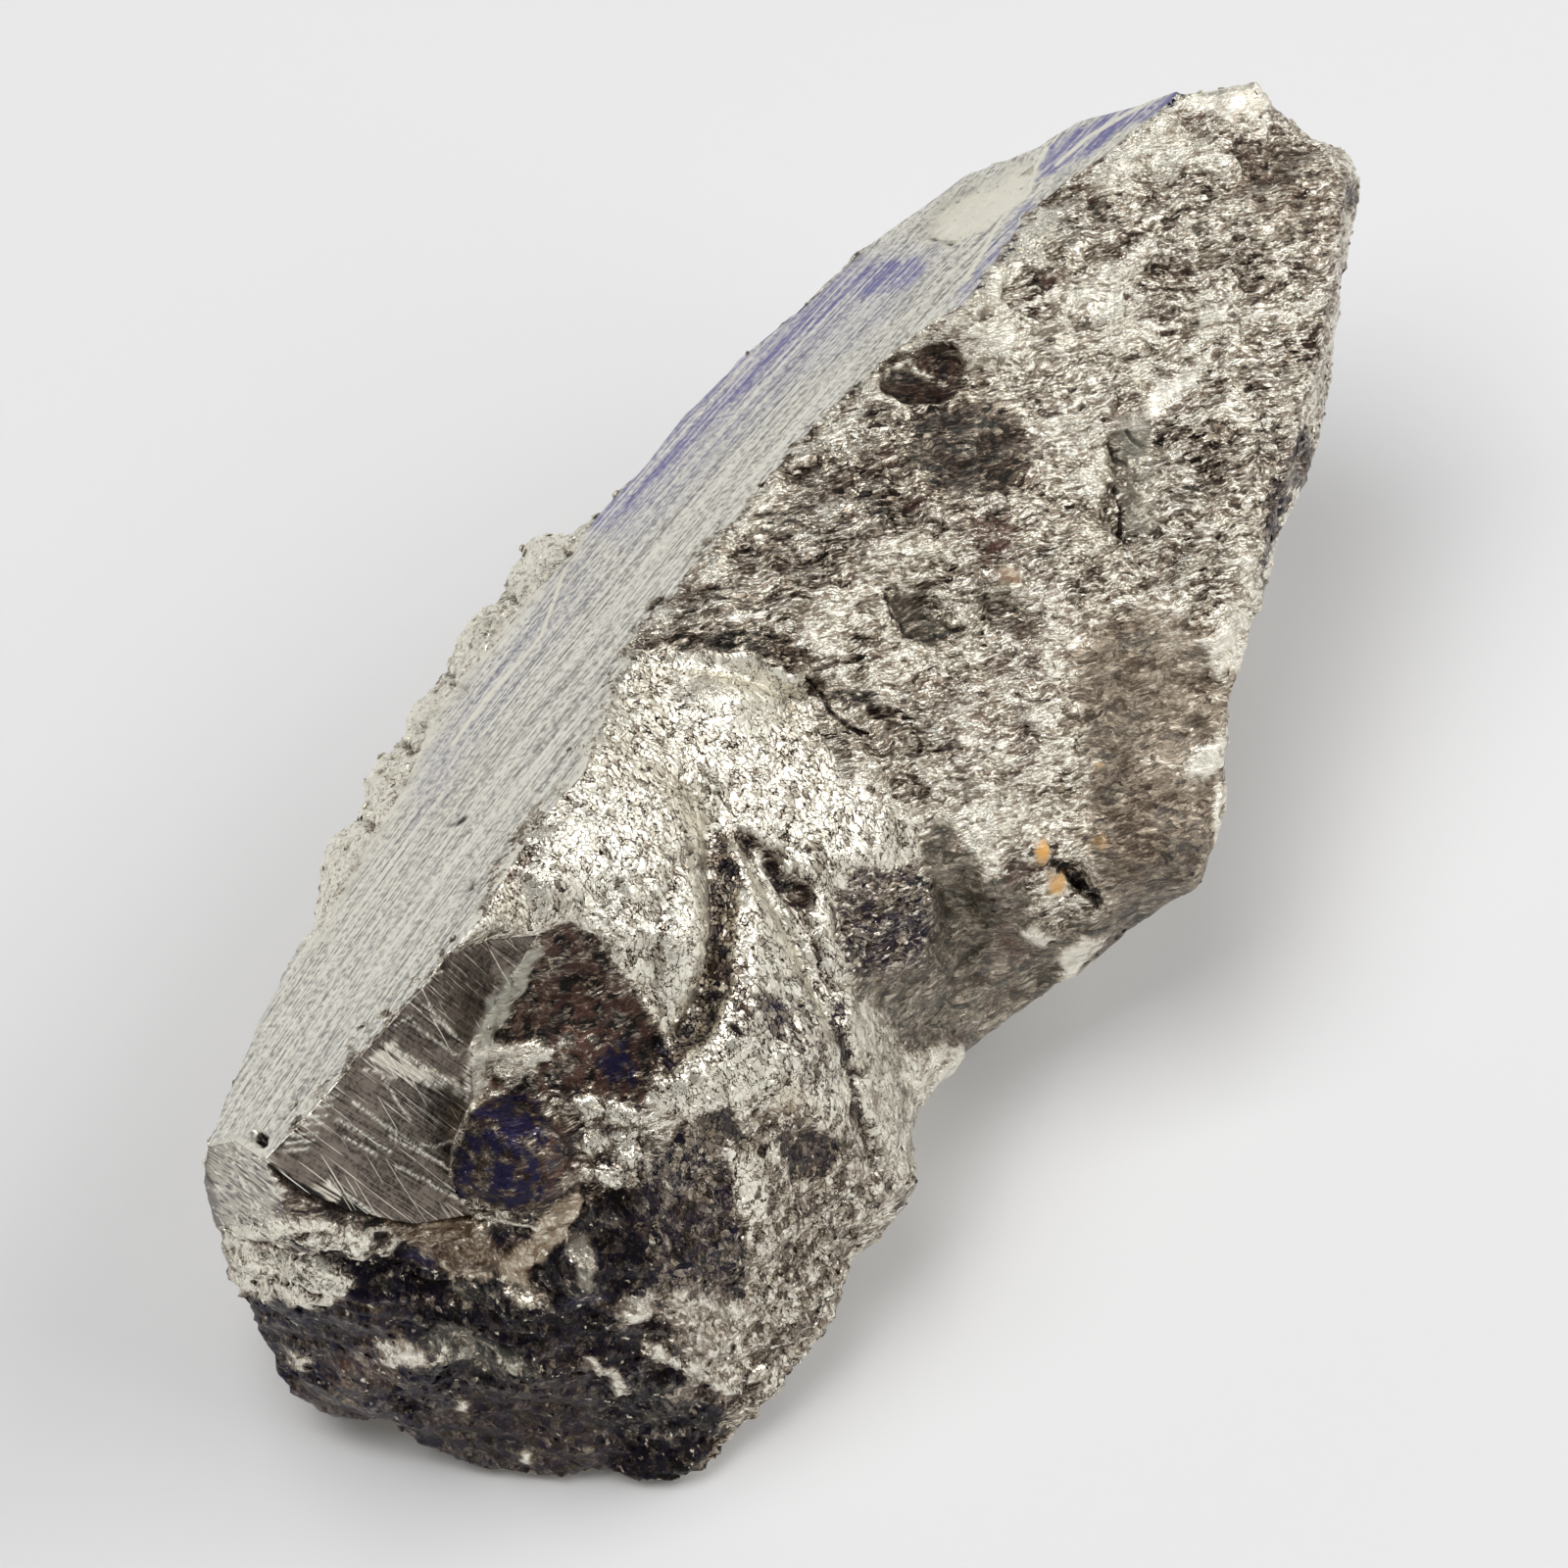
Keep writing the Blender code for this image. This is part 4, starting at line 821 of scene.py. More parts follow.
def paint(points, front):
    """The value of each channel and the relief in millimetres at each point."""
    shift = np.stack([point_noise(points, JITTER_SIZE, salt) for salt in JITTER_SALTS], axis=1)
    seen = seen_at(points) + JITTER * shift
    fields = {name: np.zeros(len(points)) for name in CHANNELS}
    fields["tarnish"] = TARNISH_MEAN + TARNISH_SWING * point_noise(points, *TARNISH_NOISE)
    fields["rust"] = RUST_MOST * smooth_step(*RUST_RANGE, point_noise(points, *RUST_NOISE))
    fields["glint"] += GLINT_EVERYWHERE
    height = np.zeros(len(points))
    for shape, rise, finish in MARKS.values():
        cover = shape(seen) * front
        height += rise * cover
        lay_on(fields, cover, finish)
    seen = seen_at(points)
    for half_width, depth, finish, path in THIN_LINES:
        cover = line_cover(seen, path, half_width) * front
        height -= depth * cover
        lay_on(fields, cover, finish)
    for path in HAIRS:
        rows = np.flatnonzero(np.all(np.abs(seen - path[0]) < HAIR_REACH, axis=1))
        line = smooth_step(HAIR_WIDTH, 0.0, distance_to_path(seen[rows], path)) * front[rows]
        fields["scratch"][rows] = np.maximum(fields["scratch"][rows], line)
    return fields, height


def facing(points, faces):
    """How squarely each point faces the camera, from -1 to 1."""
    cross = face_crosses(points, faces)
    normal = np.zeros_like(points)
    for corner in range(3):
        np.add.at(normal, faces[:, corner], cross)
    normal /= np.linalg.norm(normal, axis=1)[:, None]
    sight = EYE - points
    return np.einsum("ij,ij->i", normal, sight) / np.linalg.norm(sight, axis=1)


front_share = smooth_step(*FRONT_FADE, facing(skin_points, skin_faces)) * (rest_share == 0.0)
fields, mark_height = paint(skin_points, front_share)
print("marks painted:", len(MARKS), "on", int((front_share > 0).sum()), "points")

# %% [markdown]
# ## Sums as expressions
# Both the relief and the metal are made of node trees. Laid out by hand, a tree of sums is hard to
# read, so a small class wraps a socket and gives it the usual signs: `a * 2 + b` adds the Math
# nodes. The same class serves geometry and shaders, because both trees have the same Math nodes.

# %% A socket that can be added and multiplied
class Wire:
    """An output socket of one tree, on which sums can be written."""

    def __init__(self, bench, socket):
        self.bench = bench
        self.socket = socket

    def math(self, operation, *others, first=None):
        values = [self if first is None else first, *others]
        return self.bench.node("ShaderNodeMath", {"operation": operation}, dict(enumerate(values)))

    def __add__(self, other):
        return self.math("ADD", other)

    def __sub__(self, other):
        return self.math("SUBTRACT", other)

    def __rsub__(self, other):
        return self.math("SUBTRACT", self, first=other)

    def __mul__(self, other):
        return self.math("MULTIPLY", other)

    def __truediv__(self, other):
        return self.math("DIVIDE", other)

    def __rtruediv__(self, other):
        return self.math("DIVIDE", self, first=other)

    def __pow__(self, other):
        return self.math("POWER", other)

    def __neg__(self):
        return self * -1.0

    __radd__ = __add__
    __rmul__ = __mul__

    def least(self, other):
        return self.math("MINIMUM", other)

    def most(self, other):
        return self.math("MAXIMUM", other)

    def size(self):
        return self.math("ABSOLUTE")

    def part(self):
        return self.math("FRACT")

    def step(self, low, high):
        """0 below low, 1 above high, and smooth in between."""
        settings = {"interpolation_type": "SMOOTHSTEP"}
        return self.bench.node("ShaderNodeMapRange", settings, {0: self, 1: low, 2: high})


print("signs on sockets:", sorted(set(vars(Wire)) & set(vars(float)) - {"__doc__", "__init__"}))

# %% Add nodes to a tree
class Bench:
    """Adds nodes to one tree: settings first, then the sockets' values or wires."""

    def __init__(self, tree):
        self.tree = tree

    def node(self, kind, settings=None, sockets=None, out=0):
        made = self.tree.nodes.new(kind)
        for name, value in (settings or {}).items():
            setattr(made, name, value)
        self.plug(made, sockets or {})
        return Wire(self, self.find(made.outputs, out))

    def plug(self, node, values):
        for key, value in values.items():
            socket = self.find(node.inputs, key)
            if isinstance(value, Wire):
                self.tree.links.new(value.socket, socket)
            else:
                socket.default_value = value

    @staticmethod
    def find(sockets, key):
        """A socket by its number, its identifier or its name."""
        if isinstance(key, int):
            return sockets[key]
        return next((s for s in sockets if s.identifier == key), None) or sockets[key]

    def vector(self, operation, *values, out=0):
        sockets = dict(enumerate(values))
        return self.node("ShaderNodeVectorMath", {"operation": operation}, sockets, out)

    def scaled(self, vector, factor):
        sockets = {0: vector, "Scale": factor}
        return self.node("ShaderNodeVectorMath", {"operation": "SCALE"}, sockets)

    def dot(self, a, b):
        return self.vector("DOT_PRODUCT", a, b, out="Value")

    def turned(self, place, axes, stretch):
        """Coordinates along three directions, each divided by its own length."""
        parts = [self.dot(place, tuple(axis / size)) for axis, size in zip(axes, stretch)]
        return self.node("ShaderNodeCombineXYZ", None, dict(enumerate(parts)))

    def mixed(self, kind, factor, a, b):
        """a where factor is 0, b where it is 1; kind is Color or Vector."""
        settings = {"data_type": {"Color": "RGBA", "Vector": "VECTOR"}[kind]}
        sockets = {"Factor_Float": factor, "A_" + kind: a, "B_" + kind: b}
        return self.node("ShaderNodeMix", settings, sockets, "Result_" + kind)

    def grain(self, place, scale=1.0, detail=2.0, rough=0.5, warp=0.0):
        sockets = {"Vector": place, "Scale": scale, "Detail": detail, "Roughness": rough,
                   "Distortion": warp}
        return self.node("ShaderNodeTexNoise", None, sockets)

    def three_noises(self, place, scale, detail=2.0):
        """Three unrelated noises, as one vector."""
        sockets = {"Vector": place, "Scale": scale, "Detail": detail}
        return self.node("ShaderNodeTexNoise", None, sockets, "Color")

    def strayed(self, place, scale, reach, detail=2.0):
        """The place, moved about smoothly by noise."""
        stray = self.vector("SUBTRACT", self.three_noises(place, scale, detail), MIDDLE)
        return self.vector("ADD", place, self.scaled(stray, reach))

    def facets(self, place, tilt, step):
        """Tilted flat cells: the height of the facet at a place, and a random value for it."""
        cell = self.node("ShaderNodeTexVoronoi", None, {"Vector": place, "Scale": 1.0}, "Color")
        centre = Wire(self, cell.socket.node.outputs["Position"])
        slope = self.vector("SUBTRACT", cell, MIDDLE)
        chance = self.dot(slope, CHANCE_MIX)
        height = self.dot(slope, self.vector("SUBTRACT", place, centre)) * tilt + chance * step
        return height, chance


MIDDLE = (0.5, 0.5, 0.5)
CHANCE_MIX = (0.6, -0.5, 0.6)
print("a bench adds:", [name for name in vars(Bench) if not name.startswith("__")])

# %% [markdown]
# ## The relief
# Broken ore is a crowd of little flat facets, each tilted its own way, drawn out along the grain of
# the stone. A Voronoi texture gives each place the nearest cell's centre and a random colour. With
# the colour as a slope, every cell becomes one tilted facet. Geometry Nodes work this out for each
# point and move it along its normal. The marks' own relief and the ledges of the foot are added
# there too.

# %% Open and close a geometry tree
def open_tree(name, inputs):
    """A new tree with named inputs: its bench, its geometry, and a wire for each input."""
    tree = bpy.data.node_groups.new(name, "GeometryNodeTree")
    sides = tree.interface
    sides.new_socket(name="Geometry", in_out="INPUT", socket_type="NodeSocketGeometry")
    for key, value in inputs.items():
        item = sides.new_socket(name=key, in_out="INPUT", socket_type="NodeSocketFloat")
        item.default_value = value
    sides.new_socket(name="Geometry", in_out="OUTPUT", socket_type="NodeSocketGeometry")
    bench = Bench(tree)
    given = tree.nodes.new("NodeGroupInput").outputs
    return bench, Wire(bench, given["Geometry"]), {key: Wire(bench, given[key]) for key in inputs}


def close_tree(bench, geometry):
    bench.plug(bench.tree.nodes.new("NodeGroupOutput"), {"Geometry": geometry})
    print("tree", bench.tree.name, "has", len(bench.tree.nodes), "nodes")
    return bench.tree


def mask(bench, name):
    """A value that is stored on the mesh's points."""
    return bench.node("GeometryNodeInputNamedAttribute", {"data_type": "FLOAT"}, {"Name": name})


# %% Build the relief tree
RELIEF_INPUTS = {
    "Chip depth": 0.32, "Facet depth": 0.15, "Crinkle depth": 0.08, "Hidden gain": 1.35,
    "Ledge pitch": 1.25, "Ledge depth": 0.20,
}
# Sizes in millimetres along the grain of the stone, across it, and out of the face
CHIP_SIZE = (3.2, 1.8, 1.9)
FACET_SIZE = (1.4, 0.7, 0.8)
CRINKLE_SIZE = (1.7, 0.8, 0.8)
LEDGE_RISE = UP + 0.25 * RIGHT


def relief_tree():
    bench, skin_shape, size = open_tree("broken_relief", RELIEF_INPUTS)
    place = bench.scaled(bench.node("GeometryNodeInputPosition"), 1.0 / MM)
    bent = bench.strayed(place, 0.35, 2.2)
    names = ("broken", "hidden", "fold", "calm", "foot", "rugged")
    broken, hidden, fold, calm, foot, rugged = (mask(bench, name) for name in names)
    large, chip = bench.facets(bench.turned(bent, FRACTURE_AXES, CHIP_SIZE), 1.1, 0.8)
    small, flake = bench.facets(bench.turned(bent, FRACTURE_AXES, FACET_SIZE), 1.2, 0.9)
    crinkle = bench.grain(bench.turned(bent, FLANK_AXES, CRINKLE_SIZE), 1.0, 3.0, 0.55, 0.6)
    ridges = 1.0 - (crinkle * 2.0 - 1.0).size() * 2.2
    run = bench.dot(place, tuple(LEDGE_RISE)) / size["Ledge pitch"]
    saw = (run + bench.grain(place, 0.14, 3.0) * 5.0).part()
    ledges = (saw * saw - 0.4) * size["Ledge depth"] * foot
    rough = large * size["Chip depth"] * (0.8 + rugged * 0.4) + small * size["Facet depth"]
    rough = rough * (1.0 - fold * 0.62) + ridges * size["Crinkle depth"] * (fold * 0.8 + 0.2)
    rough = rough * (1.0 - calm * 0.75) * (hidden * (size["Hidden gain"] - 1.0) + 1.0) + ledges
    # The metal paints low places darker by lift, and each chip lighter or darker by its tilt
    # (shade)
    for name, value in (("lift", rough * broken + mask(bench, "mark")), ("shade", chip + flake)):
        skin_shape = bench.node("GeometryNodeStoreNamedAttribute",
                                {"data_type": "FLOAT", "domain": "POINT"},
                                {"Geometry": skin_shape, "Name": name, "Value": value})
    offset = bench.scaled(bench.node("GeometryNodeInputNormal"), mask(bench, "lift") * MM)
    return close_tree(bench, bench.node("GeometryNodeSetPosition", None,
                                        {"Geometry": skin_shape, "Offset": offset}))


broken_relief = relief_tree()

# %% Turn arrays into a mesh, and run a tree on it
def store(data, name, value):
    data.attributes.new(name, "FLOAT", "POINT").data.foreach_set("value", value.astype(np.float32))


def mesh_object(name, points, faces, values):
    """A mesh of triangles, with named values on its points."""
    data = bpy.data.meshes.new(name)
    data.vertices.add(len(points))
    data.vertices.foreach_set("co", (points * MM).astype(np.float32).ravel())
    data.loops.add(faces.size)
    data.loops.foreach_set("vertex_index", faces.astype(np.int32).ravel())
    data.polygons.add(len(faces))
    data.polygons.foreach_set("loop_start", np.arange(0, faces.size, 3, dtype=np.int32))
    for key, value in values.items():
        store(data, key, value)
    data.update(calc_edges=True)
    return in_scene(name, data)


def in_scene(name, data):
    obj = bpy.data.objects.new(name, data)
    bpy.context.scene.collection.objects.link(obj)
    return obj


def apply_tree(obj, tree, values):
    """Runs a geometry tree on an object and returns the result as a plain mesh."""
    modifier = obj.modifiers.new(tree.name, "NODES")
    modifier.node_group = tree
    for item in tree.interface.items_tree:
        if item.in_out == "INPUT" and item.name in values:
            modifier[item.identifier] = values[item.name]
    graph = bpy.context.evaluated_depsgraph_get()
    made = bpy.data.meshes.new_from_object(obj.evaluated_get(graph))
    obj.modifiers.remove(modifier)
    return made


def keep_in_box(data):
    """Moves any point that stands out of the solid's box back to it; returns the points."""
    points = np.empty(len(data.vertices) * 3, np.float32)
    data.vertices.foreach_get("co", points)
    points = np.clip(points.reshape(-1, 3), *np.array(CAD_BOX))
    data.vertices.foreach_set("co", points.ravel())
    data.update()
    return points


print("box to keep, in mm:", np.round(np.array(CAD_BOX) / MM, 1).tolist())

# %% Apply the relief
BORDER_SHARE = 0.25  # How much of the relief a point has that lies between two kinds of face
FOOT_RANGE = (-19.0, -25.0)
PATCHY_SIZE, PATCHY_SALT = 2.6, 77.0

broken_share = np.clip(1.0 - sawn_share - cleaved_share - rest_share, 0.0, 1.0)
broken_share = np.where((broken_share > 0.0) & (broken_share < 1.0), BORDER_SHARE, broken_share)
skin_values = dict(fields)
skin_values["broken"] = broken_share
skin_values["hidden"] = hidden_share
skin_values["foot"] = smooth_step(*FOOT_RANGE, seen_at(skin_points)[:, 1]) * front_share + 0.1
skin_values["mark"] = mark_height * (rest_share == 0.0)
skin_values["patchy"] = sum(
    point_noise(skin_points, PATCHY_SIZE / 2 ** n, PATCHY_SALT + n) / 1.6 ** n for n in range(3))
skin = mesh_object("ore_skin", skin_points, skin_faces, skin_values)
skin.data = apply_tree(skin, broken_relief, RELIEF_INPUTS)
moved = keep_in_box(skin.data)
print("relief applied; skin box in mm:", np.round(np.ptp(moved, axis=0) / MM, 2))

# %% [markdown]
# ## The metal
# Ore is bare metal, so its look is nearly all reflection. Three finishes share one skin. Broken ore
# has bright flecks on a duller ground, drawn out along the grain; the flecks and sparkles are
# painted glints. Its colour also holds painted shade: places that lie low are darker and raised
# ones lighter, and each pane gets a brightness that follows its tilt. Where it is folded it is like
# crumpled foil: small bright panes, with painted shade along the creases and seams between them.
# The sawn face is satin, with long scratches and painted glint specks. The cleavage facet is dark
# and smooth, with fans of bright hairlines. All patterns read the stone's own coordinates.

# %% Helpers for materials
def new_material(name):
    """A metal, its bench, its shader node, and the place on the stone in millimetres."""
    material = bpy.data.materials.new(name)
    material.use_nodes = True
    material.node_tree.nodes.clear()
    bench = Bench(material.node_tree)
    shader = bench.node("ShaderNodeBsdfPrincipled", None, {"Metallic": 1.0})
    bench.plug(material.node_tree.nodes.new("ShaderNodeOutputMaterial"), {"Surface": shader})
    place = bench.scaled(bench.node("ShaderNodeTexCoord", None, None, "Object"), 1.0 / MM)
    return material, bench, shader.socket.node, place


def close_material(material, bench, shader, sockets):
    bench.plug(shader, sockets)
    print("metal", material.name, "has", len(material.node_tree.nodes), "nodes")
    return material


def values_of(bench, names):
    """The values that are stored on the mesh's points, by name."""
    return {name: bench.node("ShaderNodeAttribute",
                             {"attribute_type": "GEOMETRY", "attribute_name": name}, None, "Fac")
            for name in names}


def layered(bench, colour, *layers):
    """Lays colours over a first one; each layer is how much of it shows, and its colour."""
    for factor, over in layers:
        colour = bench.mixed("Color", factor, colour, over)
    return colour


def bump(bench, height):
    """A normal from a height in millimetres."""
    return bench.node("ShaderNodeBump", None, {"Height": height, "Distance": MM, "Strength": 1.0})


def thin_lines(pattern, half_width):
    """1 along the lines where a noise passes its middle value, and 0 away from them."""
    return (pattern * 2.0 - 1.0).size().step(half_width, 0.0)


def drawn_out(bench, place, axes, angle, width, length, detail, rough=0.5):
    """Noise drawn out into straight lines that run at an angle to a flat face's own direction."""
    turn = math.radians(angle)
    along = axes[0] * math.cos(turn) + axes[1] * math.sin(turn)
    across = axes[1] * math.cos(turn) - axes[0] * math.sin(turn)
    spread = bench.turned(place, (along, across, axes[2]), (length, width, width * 8.0))
    return bench.grain(spread, 1.0, detail, rough)


print("values that a metal can read:", sorted(skin_values))

# %% The colours of the metals
NIGHT = (0.012, 0.010, 0.009, 1.0)
SOOT = (0.096, 0.070, 0.051, 1.0)
SLATE = (0.082, 0.074, 0.064, 1.0)
STEEL = (0.365, 0.300, 0.225, 1.0)
SILVER = (0.74, 0.68, 0.57, 1.0)
CREAM = (1.0, 0.96, 0.83, 1.0)
UMBER = (0.085, 0.055, 0.040, 1.0)
CHARCOAL = (0.060, 0.053, 0.047, 1.0)
VIOLET = (0.021, 0.018, 0.062, 1.0)
RUST = (0.140, 0.066, 0.050, 1.0)
OCHRE = (0.80, 0.42, 0.10, 1.0)
SAGE = (0.42, 0.43, 0.36, 1.0)
SAWN_DULL = (0.27, 0.26, 0.235, 1.0)
SAWN_BRIGHT = (1.0, 0.965, 0.855, 1.0)
SAWN_FILM = (0.19, 0.18, 0.42, 1.0)
SAWN_HAIRLINE = (1.0, 0.98, 0.92, 1.0)
CLEAVED_DARK = (0.045, 0.036, 0.030, 1.0)
CLEAVED_LIGHT = (0.24, 0.20, 0.165, 1.0)


def metal_of(bench, tone, dark):
    """The ore's colour for a tone from 0, tarnish and painted shade, to 1, fresh metal and painted
    light.
    """
    return layered(bench, NIGHT, (tone.step(0.00, 0.30), dark), (tone.step(0.22, 0.55), STEEL),
                   (tone.step(0.48, 0.78), SILVER), (tone.step(0.72, 1.00), CREAM))


print("from tarnish and painted shade to fresh metal:", [metal[0] for metal in (NIGHT, SOOT, STEEL, SILVER, CREAM)])

# %% Broken ore
ALONG_GRAIN = (0.36, 0.125, 0.15)  # The size of its grain in millimetres, where it has a direction
NO_DIRECTION = (0.29, 0.21, 0.21)
PANE_SCALE = 0.48    # Of the panes against the grain; the warp makes their outlines uneven
PANE_WARP = 1.1
SEAM_WIDTH = 0.09
CREASE_WIDTH = 0.055
FULL_TARNISH = 1.2


def broken_ore():
    material, bench, shader, place = new_material("broken_ore")
    get = values_of(bench, [*ORE_CHANNELS, "lift", "shade", "patchy"])
    fold, tarnish = get["fold"], get["tarnish"].least(FULL_TARNISH)
    bent = bench.strayed(place, 0.5, 0.9, 1.0)
    # The grain has no direction in the folds and on rugged ground
    even = (fold + get["rugged"] * 0.6).math("GREATER_THAN", 0.5)
    run = bench.mixed("Vector", even, bench.turned(bent, FRACTURE_AXES, ALONG_GRAIN),
                      bench.turned(bent, FLANK_AXES, NO_DIRECTION))
    fine = bench.grain(run, 1.0, 3.0, 0.68)
    body = bench.grain(run, 0.36, 2.0, 0.6)
    creases = thin_lines(bench.grain(run, 0.36, 3.0, 0.62), CREASE_WIDTH)
    # Small panes, each with its own tilt and a painted brightness tied to it, and their seams
    pane_place = bench.vector("ADD", bench.scaled(run, PANE_SCALE),
                              bench.scaled(bench.three_noises(run, 0.7), PANE_WARP))
    height, shine = bench.facets(pane_place, 1.0, 0.2)
    seams = bench.node("ShaderNodeTexVoronoi", {"feature": "DISTANCE_TO_EDGE"},
                       {"Vector": pane_place, "Scale": 1.0}, "Distance").step(SEAM_WIDTH, 0.0)
    seams = seams * fine.step(0.40, 0.52)
    # flecks and sparkle are painted glints: small bright specks in the colour
    flecks = (fine + shine * 0.14).step(0.50, 0.58)
    sparkle = bench.grain(run, 0.50, 2.0).step(0.66, 0.70) * get["glint"]
    lively = 1.0 - get["calm"] * 0.7
    # Slow changes and painted shade first, then the grain and painted glints, then the painted dark
    # lines
    # Painted shade: low places (lift) are darker and raised ones lighter; shade follows each chip's
    # tilt
    broad = get["patchy"] * 0.14 + get["shade"] * 0.12 + get["lift"] * 0.55
    change = (body - 0.5) * (1.0 - fold * 0.5) + broad * (1.25 - fold * 0.85)
    # The panes' brightness (shine) and the slope within each pane (height) are painted light and
    # shade
    change = change + shine * (0.30 + fold * 0.12) + height * 0.5
    grains = (flecks - 0.4) * (0.36 - fold * 0.28) + (fine - 0.5) * (0.9 - fold * 0.5)
    change = change * (1.0 - tarnish * 0.25) + grains * (1.0 - tarnish * 0.5)
    # Painted shade: the creases and seams are darkened, most in the folds
    change = change - creases * (0.06 + fold * 0.75) - seams * (0.03 + fold * 0.55)
    tone = 0.86 + fold * 0.06 - tarnish * 0.58 + get["cream"] * 0.15 + change * lively
    tone = tone + sparkle * (0.35 + tarnish * 0.45)
    dark = layered(bench, SOOT, (get["shade"].step(-0.2, 0.2), SLATE))
    # Stains lie in the darker places
    low = 1.0 - tone.step(0.45, 0.85) * 0.8
    stain = bench.grain(bent, 1.2, 3.0)
    colour = layered(
        bench, metal_of(bench, tone, dark), (get["sage"] * 0.7, SAGE),
        (get["rust"] * stain.step(0.42, 0.58) * low, RUST),
        (get["violet"] * stain.step(0.62, 0.42) * low, VIOLET), (get["ochre"], OCHRE))
    relief = fine * (0.08 - tarnish * 0.05 - fold * 0.055) + body * 0.10
    relief = relief + height * (0.09 + fold * 0.05)
    relief = relief + shine * 0.02 - creases * 0.03 - seams * 0.02
    return close_material(material, bench, shader, {
        "Base Color": colour,
        "Metallic": 1.0 - get["ochre"].most(get["rust"] * 0.35),
        "Roughness": 0.24 + get["calm"] * 0.12 + fold * 0.10 + (1.0 - tone).step(0.3, 0.9) * 0.14,
        "Normal": bump(bench, relief * lively),
    })


broken_metal = broken_ore()

# %% The sawn face
def sawn_finish():
    material, bench, shader, place = new_material("sawn_face")
    get = values_of(bench, ("violet", "tarnish", "cream"))

    def scratches(angle, width, length, detail=2.0):
        return drawn_out(bench, place, SAWN_AXES, angle, width, length, detail, 0.6)
    bands = scratches(0.0, 0.50, 20.0, 3.0)
    lines = scratches(1.0, 0.11, 14.0, 3.0)
    slanted = scratches(11.0, 0.17, 8.0)
    crossed = scratches(-9.0, 0.17, 6.0)
    speckle = bench.grain(place, 3.0, 3.0, 0.7)
    change = (lines - 0.5) * 4.2 + (bands - 0.5) * 0.6
    change = change + (slanted - 0.5) * 1.4 + (speckle - 0.5) * 3.6
    shine = 0.64 + change * 0.75
    film = get["violet"] * (lines * 0.4 + bands * 0.4 + speckle * 0.2).step(0.62, 0.40)
    hairline_and_glint = thin_lines(slanted, 0.10) * bands.step(0.46, 0.60)
    hairline_and_glint = hairline_and_glint.most(thin_lines(crossed, 0.08) * speckle.step(0.44, 0.56))
    # White specks painted as glints
    hairline_and_glint = hairline_and_glint.most(speckle.step(0.70, 0.76))
    dirt = (speckle * 0.5 + lines * 0.5).step(0.36, 0.30)
    colour = layered(
        bench, SAWN_DULL, (shine.step(0.0, 1.0), SAWN_BRIGHT), (film.least(1.0), SAWN_FILM),
        (hairline_and_glint * 0.75, SAWN_HAIRLINE), (dirt * 0.7, SOOT),
        (get["cream"] * speckle.step(0.28, 0.40), CREAM),
        ((get["tarnish"] - 0.35).step(0.1, 0.5), CHARCOAL))
    relief = bands * 0.05 + lines * 0.05 + slanted * 0.03 + speckle * 0.04
    return close_material(material, bench, shader, {
        "Base Color": colour, "Roughness": 0.38 - hairline_and_glint * 0.14, "Normal": bump(bench, relief)})


sawn_metal = sawn_finish()

# %% The dark cleavage facet
def cleavage_finish():
    material, bench, shader, place = new_material("cleavage_facet")
    names = ("tarnish", "cream", "sage", "rust", "scratch")
    tarnish, cream, sage, rust, scratch = values_of(bench, names).values()

    def fan(angle, width, length=12.0):
        return drawn_out(bench, place, CLEAVAGE_AXES, angle, width, length, 1.0)
    hairs = fan(0.0, 0.09).most(fan(-13.0, 0.10) - 0.02)
    fine = (hairs + cream * 0.10).step(0.665, 0.70)
    brushed = fan(4.0, 0.10, 4.0)
    cloud = bench.grain(place, 0.55, 4.0, 0.65)
    dust = bench.grain(place, 4.5, 2.0, 0.6)
    level = (brushed - 0.5) * 1.4 + (cloud - 0.5) * 1.9 + (dust - 0.5) * 1.6 + 0.58
    colour = layered(
        bench, CLEAVED_DARK, (level.step(0.0, 1.0), CLEAVED_LIGHT), (rust, UMBER),
        ((tarnish - 0.5).step(0.2, 0.5), NIGHT), (sage, SAGE),
        (cream * brushed.step(0.36, 0.52), SILVER), (fine * 0.8 * (1.0 - sage), CREAM),
        (scratch * brushed.step(0.30, 0.46), CREAM))
    relief = scratch * 0.05 + brushed * 0.02 + cloud * 0.12
    return close_material(material, bench, shader, {
        "Base Color": colour, "Roughness": 0.26 + cloud * 0.12, "Normal": bump(bench, relief)})


cleaved_metal = cleavage_finish()

# %% Give each kind of face its finish
FINISH_OF_KIND = np.array([0, 1, 2, 0, 0], np.int32)

for finish in (broken_metal, sawn_metal, cleaved_metal):
    skin.data.materials.append(finish)
skin.data.polygons.foreach_set("material_index", FINISH_OF_KIND[skin_labels])
skin.data.polygons.foreach_set("use_smooth", np.ones(len(skin_faces), bool))
print("triangles of each finish:", np.bincount(FINISH_OF_KIND[skin_labels]))

# %% [markdown]
# ## Loose-edged grains
# Ore breaks into tiny crystals, and the ones that stand free of the surface catch the light as
# sharp sparks. Geometry Nodes scatter them: points are spread over the skin, thickest where the
# glint value is high, and each gets a low four-sided crystal, tilted a little at random. One
# crystal has only twelve triangles, because there are thousands.

# %% Make one crystal grain
def crystal_grain():
    foot = [(-1.0, -0.8, 0.0), (0.9, -1.0, 0.0), (1.1, 0.7, 0.0), (-0.8, 1.0, 0.0)]
    top = [(-0.7, -0.45, 0.5), (0.6, -0.7, 0.34), (0.75, 0.4, 0.42), (-0.5, 0.75, 0.6)]
    faces = [(0, 2, 1), (0, 3, 2), (4, 5, 6), (4, 6, 7)]
    for i in range(4):
        j = (i + 1) % 4
        faces += [(i, j, 4 + j), (i, 4 + j, 4 + i)]
    return mesh_object("grain_pattern", np.array(foot + top), np.array(faces), {})


